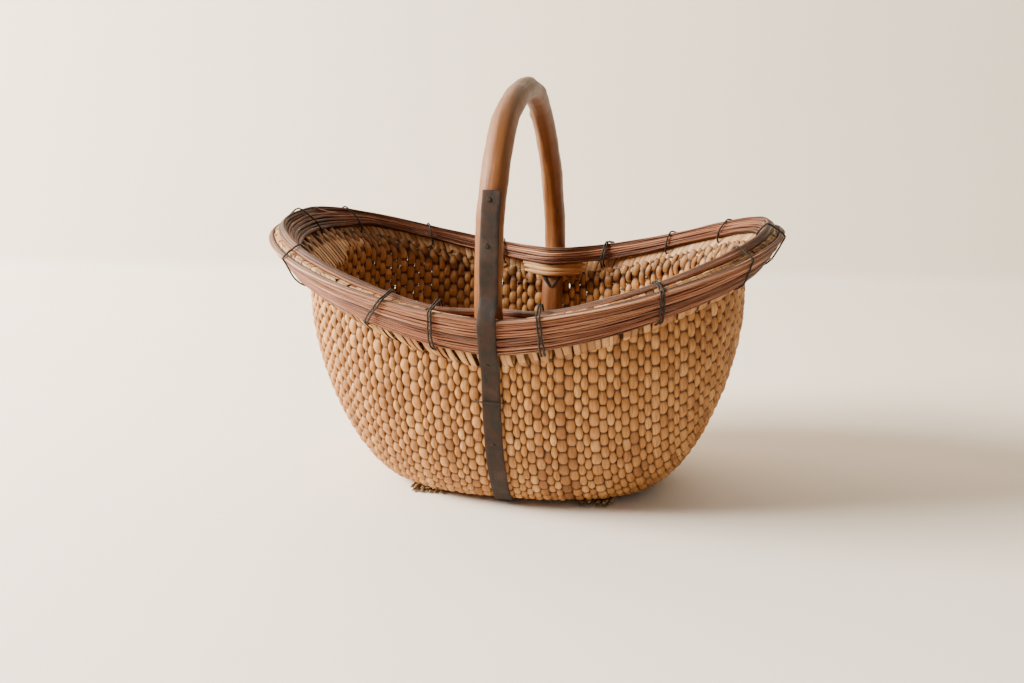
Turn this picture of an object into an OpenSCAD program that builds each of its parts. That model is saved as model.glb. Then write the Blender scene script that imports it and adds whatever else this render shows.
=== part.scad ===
// Winnowing basket: a woven willow scoop with a bound reed rim, a bent branch handle,
// an iron strap that carries the load under the base, and two runners to stand on.
// Millimetres. X runs along the basket, -Y is the front, +Z is up.
// The origin is on the ground, under the middle of the handle.

/* [Base and wall] */
// Height of the woven base above the ground
base_height = 6; // [5:0.5:10]
// Half the length of the flat part of the base
base_half_length = 138; // [125:1:150]
// Half the width of the flat part of the base
base_half_width = 92; // [80:1:100]
// Half the length of the woven wall at its widest
wall_half_length = 228; // [215:1:235]
// Half the width of the woven wall at its widest
wall_half_width = 166; // [155:1:168]
// Height over which the base turns up into the wall
turn_height = 190; // [170:1:210]
// How sharply the base turns up, where 2 is a quarter ellipse
turn_roundness = 1.6; // [1.4:0.05:2]
// Thickness of the weave
wall_thickness = 8; // [6:0.5:9]
// Height of the weave's top edge beside the handle
weave_height_middle = 180; // [170:1:190]
// Height of the weave's top edge at the left end
weave_height_left = 230; // [215:1:235]
// Height of the weave's top edge at the right end
weave_height_right = 235; // [215:1:240]

/* [Rim] */
// Half length of the rim on the left
rim_half_left = 266; // [250:1:275]
// Half length of the rim on the right
rim_half_right = 258; // [250:1:275]
// Half the width of the rim
rim_half_width = 172.6; // [168:0.1:180]
// Height of the rim beside the handle
rim_height_middle = 217; // [212:1:222]
// Height of the rim at the left end
rim_height_left = 272; // [262:1:285]
// Height of the rim at the right end
rim_height_right = 281; // [270:1:290]
// How squarely the plan outline is rounded, where 2 is an ellipse
plan_roundness = 2.35; // [2:0.05:2.6]
// How late the rim rises towards its ends
saddle_power = 1.5; // [1.2:0.05:2]
// Half the thickness of the wall where the rim is bound
edge_half_thickness = 2.2; // [1.5:0.1:3]

/* [Rim bundles] */
// Thickness of the split willow that wraps the wall's edge
splint_thickness = 1.1; // [0.8:0.1:1.5]
// How far the splints come down outside
splint_drop_outside = 44; // [40:1:48]
// How far the splints come down inside
splint_drop_inside = 28; // [24:1:32]
// Height of the outer bundle
outer_bundle_height = 36; // [30:1:38]
// Thickness of the outer bundle
outer_bundle_thickness = 6; // [4:0.5:8]
// Height of the inner bundle
inner_bundle_height = 19; // [15:1:22]
// Thickness of the inner bundle
inner_bundle_thickness = 8.5; // [6:0.5:10]

/* [Handle] */
// Half the distance between the legs where the arch starts
handle_half_span = 157; // [154:0.5:158]
// Height at which the legs start to bend inward
arch_start_height = 240; // [232:1:250]
// Height of the middle of the branch at the top of the arch
arch_top_height = 417; // [380:1:440]
// Roundness of the front shoulder, where 2 is an ellipse
front_shoulder = 2.35; // [1.6:0.05:2.6]
// Roundness of the rear shoulder, where 2 is an ellipse
rear_shoulder = 1.65; // [1.6:0.05:2.6]
// Radius of the front leg
front_leg_radius = 13.5; // [11:0.5:14]
// Radius of the rear leg
rear_leg_radius = 11.8; // [10:0.1:13]
// How far the front leg leans to the left at the rim
front_leg_lean = 4; // [0:0.5:6]
// Height of the whittled lower ends of the legs
leg_foot_height = 70; // [60:1:78]
// Half the thickness of a leg's whittled end
leg_foot_half_thickness = 7; // [5:0.5:8]

/* [Iron strap] */
// Width of the strap
strap_width = 19; // [15:0.5:22]
// Thickness of the strap
strap_thickness = 2; // [1.5:0.1:2.5]
// Angle round the arch at which the strap ends
strap_end_angle = 27; // [15:1:35]
// Radius of a nail's head
nail_head_radius = 2.6; // [2:0.1:3.5]
// Radius of a nail's shank
nail_shank_radius = 1.1; // [0.8:0.1:1.4]
// Length of a nail's shank
nail_length = 24; // [18:1:25]

/* [Wires and runners] */
// Radius of the iron binding wire
wire_radius = 0.9; // [0.6:0.1:1.2]
// Width of a base runner
runner_width = 40; // [30:1:45]
// Length of a base runner
runner_length = 168; // [150:1:176]
// Distance of each runner from the middle of the basket
runner_offset = 89; // [70:1:95]
// Radius of the cord that ties the runners on
runner_cord_radius = 1.5; // [1:0.1:2]

/* [Hidden] */

around = 64;
outer_reeds = 6;
inner_reeds = 3;
body_rows = 9;
brim_rows = 2;
gap = 0.2;
front = 270;
rear = 90;
leg_rows = 10;
arch_rows = 12;
branch_sides = 14;
wire_sides = 5;
bulge_reach = 46;
strap_wall_top = weave_height_middle - 18;
arch_rise = arch_top_height - arch_start_height;
bundle_start = edge_half_thickness + splint_thickness + 2 * gap;
outer_face = bundle_start + outer_bundle_thickness;
inner_face = bundle_start + inner_bundle_thickness;

// ---- Small helpers ----

function unit(v) = v / norm(v);
function mix(a, b, share) = a * (1 - share) + b * share;
function signed_power(v, e) = sign(v) * pow(abs(v), e);

// Joins rings of points into one skin, closed at the ends with flat caps
module capped_skin(rings) {
    count = len(rings[0]);
    last = len(rings) - 1;
    sides = [for (i = [0 : last - 1], j = [0 : count - 1])
        [i * count + j, (i + 1) * count + j,
         (i + 1) * count + (j + 1) % count, i * count + (j + 1) % count]];
    bottom = [for (j = [0 : count - 1]) j];
    top = [for (j = [count - 1 : -1 : 0]) last * count + j];
    polyhedron(concat([for (ring = rings) each ring]), concat(sides, [bottom, top]), convexity = 8);
}

// Joins rings of points into a closed loop
module looped_skin(rings) {
    count = len(rings[0]);
    total = len(rings);
    polyhedron([for (ring = rings) each ring],
        [for (i = [0 : total - 1], j = [0 : count - 1])
            [i * count + j, ((i + 1) % total) * count + j,
             ((i + 1) % total) * count + (j + 1) % count, i * count + (j + 1) % count]],
        convexity = 8);
}

// A closed loop of round wire through the given points, which lie roughly square to `across`
module wire_loop(points, across, radius) {
    total = len(points);
    looped_skin([for (i = [0 : total - 1])
        let (
            along = unit(points[(i + 1) % total] - points[(i + total - 1) % total]),
            side = unit(cross(along, across)),
            up = cross(side, along)
        )
        [for (j = [0 : wire_sides - 1])
            let (turn = -360 * j / wire_sides)
            points[i] + radius * (cos(turn) * side + sin(turn) * up)]]);
}

// ---- The basket's form ----

// Plan outline at parameter angle t
function outline(t, half_length, half_width) = [
    half_length * signed_power(cos(t), 2 / plan_roundness),
    half_width * signed_power(sin(t), 2 / plan_roundness)
];

// Share of the way from the base outline to the wall outline, by height above the base
function swell(height) =
    let (u = min(1, max(0, height / turn_height)))
    pow(1 - pow(1 - u, turn_roundness), 1 / turn_roundness);

// A point on the weave at height z: outside when inset is 0, inside when it is wall_thickness
function weave_point(t, z, inset) =
    let (
        share = swell(z - base_height - inset),
        plan = outline(t,
            mix(base_half_length, wall_half_length, share) - inset,
            mix(base_half_width, wall_half_width, share) - inset)
    )
    [plan[0], plan[1], z];

// Height of a saddle-shaped edge at angle t
function saddle(t, middle, left, right) =
    let (reach = pow(abs(cos(t)), 2 * saddle_power / plan_roundness))
    mix(middle, cos(t) > 0 ? right : left, reach);

function weave_top(t) = saddle(t, weave_height_middle, weave_height_left, weave_height_right);
function weave_edge(t, inset) = weave_point(t, weave_top(t), inset);

function rim_point(t) =
    let (plan = outline(t, cos(t) > 0 ? rim_half_right : rim_half_left, rim_half_width))
    [plan[0], plan[1], saddle(t, rim_height_middle, rim_height_left, rim_height_right)];

function rim_up(t) = unit(rim_point(t) - weave_edge(t, 0));
function rim_out(t) = unit(cross(rim_point(t + 1) - rim_point(t - 1), rim_up(t)));
function brim_length(t) = norm(rim_point(t) - weave_edge(t, 0));

// A point near the rim: out from the middle of the wall, and up along the wall
function at_rim(t, out, up) = rim_point(t) + out * rim_out(t) + up * rim_up(t);

// How far the wall's outer and inner faces stand from its middle, by distance up from the rim
function wall_outside(t, up) = mix(edge_half_thickness, 0, -up / brim_length(t));
function wall_inside(t, up) = -mix(edge_half_thickness, wall_thickness, -up / brim_length(t));

module willow_shell() {
    angles = [for (i = [0 : around - 1]) 360 * i / around];
    floor_top = base_height + wall_thickness;
    function row_share(j) = pow(j / body_rows, 1.5);
    outside = [for (j = [0 : body_rows])
        [for (t = angles) weave_point(t, mix(base_height, weave_top(t), row_share(j)), 0)]];
    brim_outside = [for (j = [1 : brim_rows])
        [for (t = angles)
            mix(weave_edge(t, 0), at_rim(t, edge_half_thickness, 0), j / brim_rows)]];
    brim_inside = [for (j = [brim_rows : -1 : 1])
        [for (t = angles)
            mix(weave_edge(t, wall_thickness), at_rim(t, -edge_half_thickness, 0), j / brim_rows)]];
    inside = [for (j = [body_rows : -1 : 0])
        [for (t = angles)
            weave_point(t, mix(floor_top, weave_top(t), row_share(j)), wall_thickness)]];
    color("#c08a55")
        capped_skin(concat(outside, brim_outside, brim_inside, inside));
}

// Split willow folded over the wall's edge, as one band
module edge_splints() {
    outer = gap + splint_thickness;
    color("#e2c08c")
        looped_skin([for (i = [around - 1 : -1 : 0])
            let (
                t = 360 * i / around,
                outside_foot = wall_outside(t, -splint_drop_outside),
                inside_foot = wall_inside(t, -splint_drop_inside)
            )
            [
                at_rim(t, outside_foot + outer, -splint_drop_outside),
                at_rim(t, edge_half_thickness + outer, outer),
                at_rim(t, -edge_half_thickness - outer, outer),
                at_rim(t, inside_foot - outer, -splint_drop_inside),
                at_rim(t, inside_foot - gap, -splint_drop_inside),
                at_rim(t, -edge_half_thickness - gap, gap),
                at_rim(t, edge_half_thickness + gap, gap),
                at_rim(t, outside_foot + gap, -splint_drop_outside)
            ]]);
}

// How far the inner bundle swings in to pass round a leg of the handle
function leg_bulge(t) =
    let (x = rim_point(t)[0])
    2.15 * front_leg_radius * exp(-pow(x / bulge_reach, 2));

// One reed round the whole rim, counted from the top. `side` is 1 outside the wall and -1 inside
module rim_reed(side, thickness, height, count, place) {
    pitch = height / count;
    top = -(place - 1) * pitch;
    bottom = top - pitch + gap;
    far = bundle_start + thickness;
    shoulder = mix(bundle_start, far, 0.85);
    color("#a9714f")
        looped_skin([for (i = side > 0 ? [around - 1 : -1 : 0] : [0 : 1 : around - 1])
            let (
                t = 360 * i / around,
                shift = side > 0 ? 0 : leg_bulge(t)
            )
            [
                at_rim(t, side * (bundle_start + shift), bottom),
                at_rim(t, side * (shoulder + shift), bottom),
                at_rim(t, side * (far + shift), (bottom + top) / 2),
                at_rim(t, side * (shoulder + shift), top),
                at_rim(t, side * (bundle_start + shift), top)
            ]]);
}

module outer_reed(place) {
    rim_reed(1, outer_bundle_thickness, outer_bundle_height, outer_reeds, place);
}

module inner_reed(place) {
    rim_reed(-1, inner_bundle_thickness, inner_bundle_height, inner_reeds, place);
}

module outer_reed_1() { outer_reed(1); }
module outer_reed_2() { outer_reed(2); }
module outer_reed_3() { outer_reed(3); }
module outer_reed_4() { outer_reed(4); }
module outer_reed_5() { outer_reed(5); }
module outer_reed_6() { outer_reed(6); }
module inner_reed_1() { inner_reed(1); }
module inner_reed_2() { inner_reed(2); }
module inner_reed_3() { inner_reed(3); }

// ---- Handle and strap, drawn in the plane through the middle of the basket ----

// Half width of the inside of the wall beside the handle, by height
function clear_half_width(z) =
    z < weave_height_middle
        ? weave_point(rear, z, wall_thickness)[1]
        : mix(wall_half_width - wall_thickness, rim_half_width - edge_half_thickness,
            (z - weave_height_middle) / (rim_height_middle - weave_height_middle));

// Share of the way up a leg, from its whittled end to the start of the arch
function leg_share(z) = (z - leg_foot_height) / (arch_start_height - leg_foot_height);
function leg_half_thickness(z, radius) = mix(leg_foot_half_thickness, radius, pow(leg_share(z), 1.2));
function leg_y(z, radius) =
    min(handle_half_span,
        clear_half_width(z) - splint_thickness - 3 * gap - leg_half_thickness(z, radius));

// The arch from the start of a leg at angle 0 to the top at angle 90, as [distance, height]
function arch_point(angle, roundness) = [
    handle_half_span * signed_power(cos(angle), 2 / roundness),
    arch_start_height + arch_rise * signed_power(sin(angle), 2 / roundness)
];
function arch_outward(angle, roundness) =
    let (step = arch_point(angle + 0.5, roundness) - arch_point(angle - 0.5, roundness))
    unit([step[1], -step[0]]);

// An oval ring of the branch, square to the handle's plane
function branch_ring(middle, outward, half_thickness, half_width) =
    [for (j = [0 : branch_sides - 1])
        let (turn = 360 * j / branch_sides)
        middle + half_thickness * cos(turn) * outward + half_width * sin(turn) * [1, 0, 0]];

module handle() {
    top_radius = (front_leg_radius + rear_leg_radius) / 2;
    front_leg = [for (i = [0 : leg_rows - 1])
        let (z = mix(leg_foot_height, arch_start_height, i / leg_rows))
        branch_ring([-front_leg_lean, -leg_y(z, front_leg_radius), z], [0, -1, 0],
            leg_half_thickness(z, front_leg_radius), front_leg_radius)];
    front_arch = [for (i = [0 : arch_rows])
        let (
            angle = 90 * i / arch_rows,
            p = arch_point(angle, front_shoulder),
            out = arch_outward(min(89.4, max(0.6, angle)), front_shoulder),
            radius = mix(front_leg_radius, top_radius, angle / 90)
        )
        branch_ring([-front_leg_lean * (1 - angle / 90), -p[0], p[1]],
            [0, -out[0], out[1]], radius, radius)];
    rear_arch = [for (i = [arch_rows - 1 : -1 : 0])
        let (
            angle = 90 * i / arch_rows,
            p = arch_point(angle, rear_shoulder),
            out = arch_outward(min(89.4, max(0.6, angle)), rear_shoulder),
            radius = mix(rear_leg_radius, top_radius, angle / 90)
        )
        branch_ring([0, p[0], p[1]], [0, out[0], out[1]], radius, radius)];
    rear_leg = [for (i = [leg_rows - 1 : -1 : 0])
        let (z = mix(leg_foot_height, arch_start_height, i / leg_rows))
        branch_ring([0, leg_y(z, rear_leg_radius), z], [0, 1, 0],
            leg_half_thickness(z, rear_leg_radius), rear_leg_radius)];
    color("#b5834f")
        capped_skin(concat(front_leg, front_arch, rear_arch, rear_leg));
}

// Inner face of the strap on one side, from its end on the leg to the middle of the base,
// as [distance from the middle, height]
function strap_side(roundness, radius) =
    let (
        base_edge = base_half_width + gap,
        bundle_top = at_rim(rear, outer_face + gap, -1),
        bundle_bottom = at_rim(rear, outer_face + gap, -outer_bundle_height)
    )
    concat(
        [for (angle = [strap_end_angle : -3 : 3])
            arch_point(angle, roundness) + (radius + gap) * arch_outward(angle, roundness)],
        [[handle_half_span + radius + gap, arch_start_height - 4]],
        [[bundle_top[1], bundle_top[2]], [bundle_bottom[1], bundle_bottom[2]]],
        [for (i = [0 : 14])
            let (z = mix(base_height + 1, strap_wall_top, pow(1 - i / 14, 1.5)))
            [weave_point(rear, z, 0)[1] + 2 * gap, z]],
        [[base_edge, base_height - gap], [0, base_height - gap]]
    );

// Moves a path outward by its own thickness
function outward_path(path, distance) =
    [for (i = [0 : len(path) - 1])
        let (
            before = path[max(0, i - 1)],
            after = path[min(len(path) - 1, i + 1)],
            along = unit(after - before)
        )
        path[i] + distance * [-along[1], along[0]]];

module strap_half(roundness, radius) {
    inner = strap_side(roundness, radius);
    outer = outward_path(inner, strap_thickness);
    back = [for (i = [len(outer) - 1 : -1 : 0]) outer[i]];
    rotate([90, 0, 90])
        linear_extrude(strap_width, center = true)
            polygon(concat(inner, back));
}

// Where nails hold the strap: angles round the arch, and a height on the wall. One more goes in
// between the bundle and the wall.
nail_angles = [24, 11];
nail_height = 82;

// Outward direction square to the line from a lower point to a higher one
function square_to(low, high) = let (along = unit(high - low)) [along[1], -along[0]];

// Each nail on one side as [place on the strap's outer face, outward direction]
function nails_on(roundness, radius) =
    let (
        bundle = at_rim(rear, outer_face + gap, -outer_bundle_height),
        bundle_foot = [bundle[1], bundle[2]],
        wall_head = [weave_point(rear, strap_wall_top, 0)[1] + 2 * gap, strap_wall_top],
        below = weave_point(rear, nail_height - 4, 0),
        above = weave_point(rear, nail_height + 4, 0),
        bridge_out = square_to(wall_head, bundle_foot),
        wall_out = square_to([below[1], below[2]], [above[1], above[2]]),
        wall_place = [weave_point(rear, nail_height, 0)[1] + 2 * gap, nail_height]
    )
    concat(
        [for (angle = nail_angles)
            let (out = arch_outward(angle, roundness))
            [arch_point(angle, roundness) + (radius + gap + strap_thickness) * out, out]],
        [[(wall_head + bundle_foot) / 2 + strap_thickness * bridge_out, bridge_out]],
        [[wall_place + strap_thickness * wall_out, wall_out]]
    );

// Carries its children to each nail on one side: +Z along the nail, out of the basket
module at_nails(roundness, radius) {
    for (place = nails_on(roundness, radius))
        translate([0, place[0][0], place[0][1]])
            rotate([-atan2(place[1][0], place[1][1]), 0, 0]) children();
}

module nail() {
    cylinder(h = 1.2, r1 = nail_head_radius, r2 = nail_head_radius * 0.7, $fn = 24);
    translate([0, 0, -nail_length])
        cylinder(h = nail_length + 0.5, r = nail_shank_radius, $fn = 24);
}

module iron_strap() {
    color("#4a3d38")
        translate([-front_leg_lean / 2, 0, 0])
            difference() {
                union() {
                    strap_half(rear_shoulder, rear_leg_radius);
                    mirror([0, 1, 0]) strap_half(front_shoulder, front_leg_radius);
                }
                at_nails(rear_shoulder, rear_leg_radius) nail_hole();
                mirror([0, 1, 0]) at_nails(front_shoulder, front_leg_radius) nail_hole();
            }
}

module nail_hole() {
    translate([0, 0, -nail_length])
        cylinder(h = nail_length + 6, r = nail_shank_radius + 0.05, $fn = 24);
}

module strap_nails_front() {
    color("#3a312e")
        translate([-front_leg_lean / 2, 0, 0])
            mirror([0, 1, 0]) at_nails(front_shoulder, front_leg_radius) nail();
}

module strap_nails_rear() {
    color("#3a312e")
        translate([-front_leg_lean / 2, 0, 0])
            at_nails(rear_shoulder, rear_leg_radius) nail();
}

// ---- Wires and cords ----

// A flat oval loop of wire round the strap, the wall and the leg behind it
module strap_wire(side, leg_radius) {
    z = 130;
    outer_y = weave_point(rear, z, 0)[1] + strap_thickness + 3 * gap + wire_radius;
    inner_y = leg_y(z, leg_radius) - leg_half_thickness(z, leg_radius) - gap - wire_radius;
    half_width = front_leg_radius + wire_radius + 1;
    centre = [-front_leg_lean / 2, side * (outer_y + inner_y) / 2, z];
    half_depth = (outer_y - inner_y) / 2;
    color("#2e2826")
        wire_loop([for (i = [0 : 15])
            let (turn = 360 * i / 16)
            centre + [(half_width + 1) * signed_power(cos(turn), 0.5),
                      half_depth * signed_power(sin(turn), 0.5), 0]],
            [0, 0, 1], wire_radius);
}

module strap_wire_front() { strap_wire(-1, front_leg_radius); }
module strap_wire_rear() { strap_wire(1, rear_leg_radius); }

// A loop of wire round both rim bundles and the wall. `lean` turns its lower end along the rim
module rim_tie(t, lean, shift = 0) {
    outside = outer_face + gap + wire_radius;
    inside = inner_face + gap + wire_radius;
    over = splint_thickness + 2 * gap + wire_radius;
    low_out = -outer_bundle_height - 6;
    low_in = -inner_bundle_height - 6;
    section = [
        [outside, -1], [outside - 1, over * 0.7], [outside - 4, over],
        [2, over], [-2, over],
        [3 - inside, over], [1 - inside, over * 0.7], [-inside, -1],
        [-inside, -inner_bundle_height + 2],
        [-inside * 0.75, low_in + 2], [-inside * 0.5, low_in - 2],
        [0, low_out], [bundle_start, low_out - 2],
        [outside - 3, low_out + 3], [outside, -outer_bundle_height + 2]
    ];
    color("#2e2826")
        wire_loop([for (p = section)
            at_rim(t + shift + lean * p[1] / low_out, p[0], p[1])],
            rim_point(t + 1) - rim_point(t - 1), wire_radius);
}

module double_rim_tie(t, lean) {
    rim_tie(t, lean, -0.6);
    rim_tie(t, lean, 0.6);
}

module rim_tie_left_end() { rim_tie(177, -3); }
module rim_tie_right_end() { rim_tie(357, 3); }
module rim_tie_front_1() { rim_tie(217, -4); }
module rim_tie_front_2() { rim_tie(245, -5); }
module rim_tie_front_3() { rim_tie(261, -2); }
module rim_tie_front_4() { double_rim_tie(278, 2); }
module rim_tie_front_5() { rim_tie(304, 4); }
module rim_tie_front_6() { rim_tie(332, 4); }
module rim_tie_rear_1() { rim_tie(39, 0); }
module rim_tie_rear_2() { rim_tie(61, -2); }
module rim_tie_rear_3() { double_rim_tie(79, 0); }
module rim_tie_rear_4() { double_rim_tie(101, 1); }
module rim_tie_rear_5() { rim_tie(121, 3); }
module rim_tie_rear_6() { rim_tie(151, -1); }

// Two slanting loops that bind a leg and the inner bundle to the wall, meeting in a V
module handle_lashing(t, leg_radius, lean_x) {
    z = weave_height_middle + 3;
    side = t == rear ? 1 : -1;
    leg_face = leg_y(z, leg_radius) - leg_half_thickness(z, leg_radius) - gap - wire_radius;
    wall_face = wall_half_width + 3;
    top = rim_height_middle - inner_bundle_height;
    color("#2e2826")
        for (hand = [-1, 1])
            translate([-lean_x, 0, 0])
                wire_loop([
                    [hand * 1.5, side * leg_face, z - 3],
                    [hand * 9, side * (leg_face + 2), z + 6],
                    [hand * (leg_radius + 2.5), side * (leg_face + 9), top - 2],
                    [hand * (leg_radius + 3), side * (wall_face - 4), top - 2],
                    [hand * (leg_radius + 2.5), side * wall_face, z + 4],
                    [hand * 9, side * wall_face, z - 4],
                    [hand * 2.5, side * (wall_face - 4), z - 6]
                ], [0, -0.3 * side, 1], wire_radius);
}

module handle_lashing_front() { handle_lashing(front, front_leg_radius, front_leg_lean); }
module handle_lashing_rear() { handle_lashing(rear, rear_leg_radius, 0); }

// A flattened willow runner across the underside of the base, with a rounded crown
module base_runner(side) {
    color("#8c6a44")
        translate([side * runner_offset, 0, 0])
            rotate([90, 0, 0])
                linear_extrude(runner_length, center = true)
                    polygon([
                        [-runner_width / 2 + 3, 0],
                        [runner_width / 2 - 3, 0],
                        [runner_width / 2, 2.5],
                        [runner_width / 2 - 4, base_height - gap],
                        [-runner_width / 2 + 4, base_height - gap],
                        [-runner_width / 2, 2.5]
                    ]);
}

module base_runner_left() { base_runner(-1); }
module base_runner_right() { base_runner(1); }

// Cord loops through the base and beside a runner, which hold it on
module runner_ties(side) {
    color("#b79a6a")
        for (y = [-0.3, 0.3])
            translate([side * runner_offset, y * runner_length, 0])
                wire_loop([for (i = [0 : 15])
                    let (turn = 360 * i / 16)
                    [(runner_width / 2 + 2.5) * signed_power(cos(turn), 0.35), 0,
                     (base_height + wall_thickness) / 2 + runner_cord_radius
                     + (base_height + wall_thickness) / 2 * signed_power(sin(turn), 0.35)]],
                    [0, 1, 0], runner_cord_radius);
}

module runner_ties_left() { runner_ties(-1); }
module runner_ties_right() { runner_ties(1); }

willow_shell();
edge_splints();
outer_reed_1();
outer_reed_2();
outer_reed_3();
outer_reed_4();
outer_reed_5();
outer_reed_6();
inner_reed_1();
inner_reed_2();
inner_reed_3();
handle();
iron_strap();
strap_nails_front();
strap_nails_rear();
strap_wire_front();
strap_wire_rear();
handle_lashing_front();
handle_lashing_rear();
rim_tie_left_end();
rim_tie_right_end();
rim_tie_front_1();
rim_tie_front_2();
rim_tie_front_3();
rim_tie_front_4();
rim_tie_front_5();
rim_tie_front_6();
rim_tie_rear_1();
rim_tie_rear_2();
rim_tie_rear_3();
rim_tie_rear_4();
rim_tie_rear_5();
rim_tie_rear_6();
base_runner_left();
base_runner_right();
runner_ties_left();
runner_ties_right();
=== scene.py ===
"""Looks of the winnowing basket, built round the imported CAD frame.

Lengths inside the building functions are millimetres in the CAD frame; Skin.build turns them
into metres. The long axis is X, the front is -Y and up is +Z.
"""

import math

import bpy
import numpy as np
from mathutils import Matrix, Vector

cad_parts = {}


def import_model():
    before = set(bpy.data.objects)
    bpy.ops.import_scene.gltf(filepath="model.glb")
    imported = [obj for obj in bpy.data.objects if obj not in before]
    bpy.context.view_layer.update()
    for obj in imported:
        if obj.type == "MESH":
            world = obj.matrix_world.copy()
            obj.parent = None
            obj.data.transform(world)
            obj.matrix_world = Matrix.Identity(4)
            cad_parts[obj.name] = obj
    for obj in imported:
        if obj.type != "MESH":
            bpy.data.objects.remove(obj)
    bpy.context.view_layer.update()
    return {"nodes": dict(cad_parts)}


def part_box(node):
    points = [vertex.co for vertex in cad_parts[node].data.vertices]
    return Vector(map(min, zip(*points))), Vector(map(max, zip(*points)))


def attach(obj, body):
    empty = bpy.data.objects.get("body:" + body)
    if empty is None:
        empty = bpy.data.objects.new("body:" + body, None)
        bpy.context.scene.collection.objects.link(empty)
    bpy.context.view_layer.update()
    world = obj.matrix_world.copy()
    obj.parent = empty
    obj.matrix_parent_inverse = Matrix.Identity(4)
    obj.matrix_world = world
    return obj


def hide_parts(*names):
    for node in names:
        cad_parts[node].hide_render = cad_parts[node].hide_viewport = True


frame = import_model()

MM = 0.001
TAU = 2 * math.pi


# ---------------------------------------------------------------------------
# The basket's form, the same surfaces as the CAD
# ---------------------------------------------------------------------------

def cad_box(node):
    """Lowest and highest corner of a CAD node in millimetres."""
    low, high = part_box(node)
    return np.array(low) / MM, np.array(high) / MM


strap_low, strap_high = cad_box("iron_strap")

BASE_Z = cad_box("willow_shell")[0][2]
BASE_HALF_LENGTH = 138.0
BASE_HALF_WIDTH = 92.0
WALL_HALF_LENGTH = 228.0
WALL_HALF_WIDTH = 166.0
TURN_HEIGHT = 190.0
TURN_ROUNDNESS = 1.6
WALL_THICKNESS = 8.0
PLAN_ROUNDNESS = 2.35
SADDLE_POWER = 1.5
WEAVE_TOP = (180.0, 230.0, 235.0)
RIM_TOP = (217.0, 272.0, 281.0)
RIM_LEFT = 266.0
RIM_RIGHT = 258.0
RIM_HALF_WIDTH = 172.6
EDGE_HALF = 2.2
BUNDLE_START = 3.7
OUTER_THICK = 6.0
INNER_THICK = 8.5
OUTER_HEIGHT = 36.0
INNER_HEIGHT = 19.0
LEG_BULGE = 29.0
LEG_BULGE_REACH = 46.0
REED_STEP = 4.0
ANGLE_STEP = 0.02

REAR = 0.5 * math.pi


def power(value, exponent):
    """Raises the size of a value to a power and keeps its sign."""
    return np.sign(value) * np.abs(value) ** exponent


def unit(vectors):
    """Vectors scaled to length 1."""
    return vectors / np.maximum(np.linalg.norm(vectors, axis=-1, keepdims=True), 1e-9)


def smooth_step(low, high, value):
    """Eases from 0 at low to 1 at high."""
    share = np.clip((value - low) / (high - low), 0, 1)
    return share * share * (3 - 2 * share)


def swell(height):
    """How far the wall has swelled out, 0 at the base and 1 at TURN_HEIGHT."""
    share = np.clip(height / TURN_HEIGHT, 0, 1)
    return (1 - (1 - share) ** TURN_ROUNDNESS) ** (1 / TURN_ROUNDNESS)


def wall_half_sizes(z):
    """Half length and half width of the wall's outside at a height."""
    share = swell(z - BASE_Z)
    return (BASE_HALF_LENGTH + (WALL_HALF_LENGTH - BASE_HALF_LENGTH) * share,
            BASE_HALF_WIDTH + (WALL_HALF_WIDTH - BASE_HALF_WIDTH) * share)


def saddle(t, heights):
    """Height round the basket, from its middle, left and right heights."""
    middle, left, right = heights
    reach = np.abs(np.cos(t)) ** (2 * SADDLE_POWER / PLAN_ROUNDNESS)
    return middle + (np.where(np.cos(t) > 0, right, left) - middle) * reach


def plan_point(t, half_length, half_width, z):
    """Point on a rounded-oblong outline."""
    x = half_length * power(np.cos(t), 2 / PLAN_ROUNDNESS)
    y = half_width * power(np.sin(t), 2 / PLAN_ROUNDNESS)
    return np.stack([x, y, z + 0 * x], -1)


def weave_edge(t):
    """Top edge of the weave, where the flaring brim starts."""
    z = saddle(t, WEAVE_TOP)
    half_length, half_width = wall_half_sizes(z)
    return plan_point(t, half_length, half_width, z)


def rim_point(t):
    """Point on the top edge of the brim."""
    half_length = np.where(np.cos(t) > 0, RIM_RIGHT, RIM_LEFT)
    return plan_point(t, half_length, RIM_HALF_WIDTH, saddle(t, RIM_TOP))


def rim_frame(t):
    """Rim point, direction up the brim, direction out of the basket, and the brim's length."""
    point = rim_point(t)
    rise = point - weave_edge(t)
    up = unit(rise)
    along = unit(rim_point(t + ANGLE_STEP) - rim_point(t - ANGLE_STEP))
    out = unit(np.cross(along, up))
    return point, up, out, np.linalg.norm(rise, axis=-1)


def at_rim(t, out_by, up_by):
    """Point given by distances outwards and up the brim from its edge."""
    point, up, out, _ = rim_frame(t)
    return point + out * np.asarray(out_by)[..., None] + up * np.asarray(up_by)[..., None]


def wall_outside(t, up_by):
    """Distance outwards of the brim's outer face."""
    length = rim_frame(t)[3]
    return EDGE_HALF * (1 + up_by / length)


def wall_inside(t, up_by):
    """Distance outwards of the brim's inner face."""
    length = rim_frame(t)[3]
    return -(EDGE_HALF + (WALL_THICKNESS - EDGE_HALF) * np.clip(-up_by / length, 0, 1))


def rim_distances(count=2880):
    """Angles round the rim and the distance travelled along it to each."""
    t = np.linspace(0, TAU, count + 1)
    points = rim_point(t)
    steps = np.linalg.norm(np.diff(points, axis=0), axis=1)
    return t, np.concatenate([[0], np.cumsum(steps)])


RIM_ANGLES, RIM_LENGTHS = rim_distances()
RIM_AROUND = RIM_LENGTHS[-1]


def rim_angle(distance):
    """Angle at a distance round the rim; distances wrap."""
    turns = np.floor(np.asarray(distance) / RIM_AROUND)
    inside = np.asarray(distance) - turns * RIM_AROUND
    return np.interp(inside, RIM_LENGTHS, RIM_ANGLES) + turns * TAU


def rim_distance(angle):
    """Distance round the rim to an angle."""
    return float(np.interp(angle % TAU, RIM_ANGLES, RIM_LENGTHS))


# ---------------------------------------------------------------------------
# Mesh building
# ---------------------------------------------------------------------------

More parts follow.
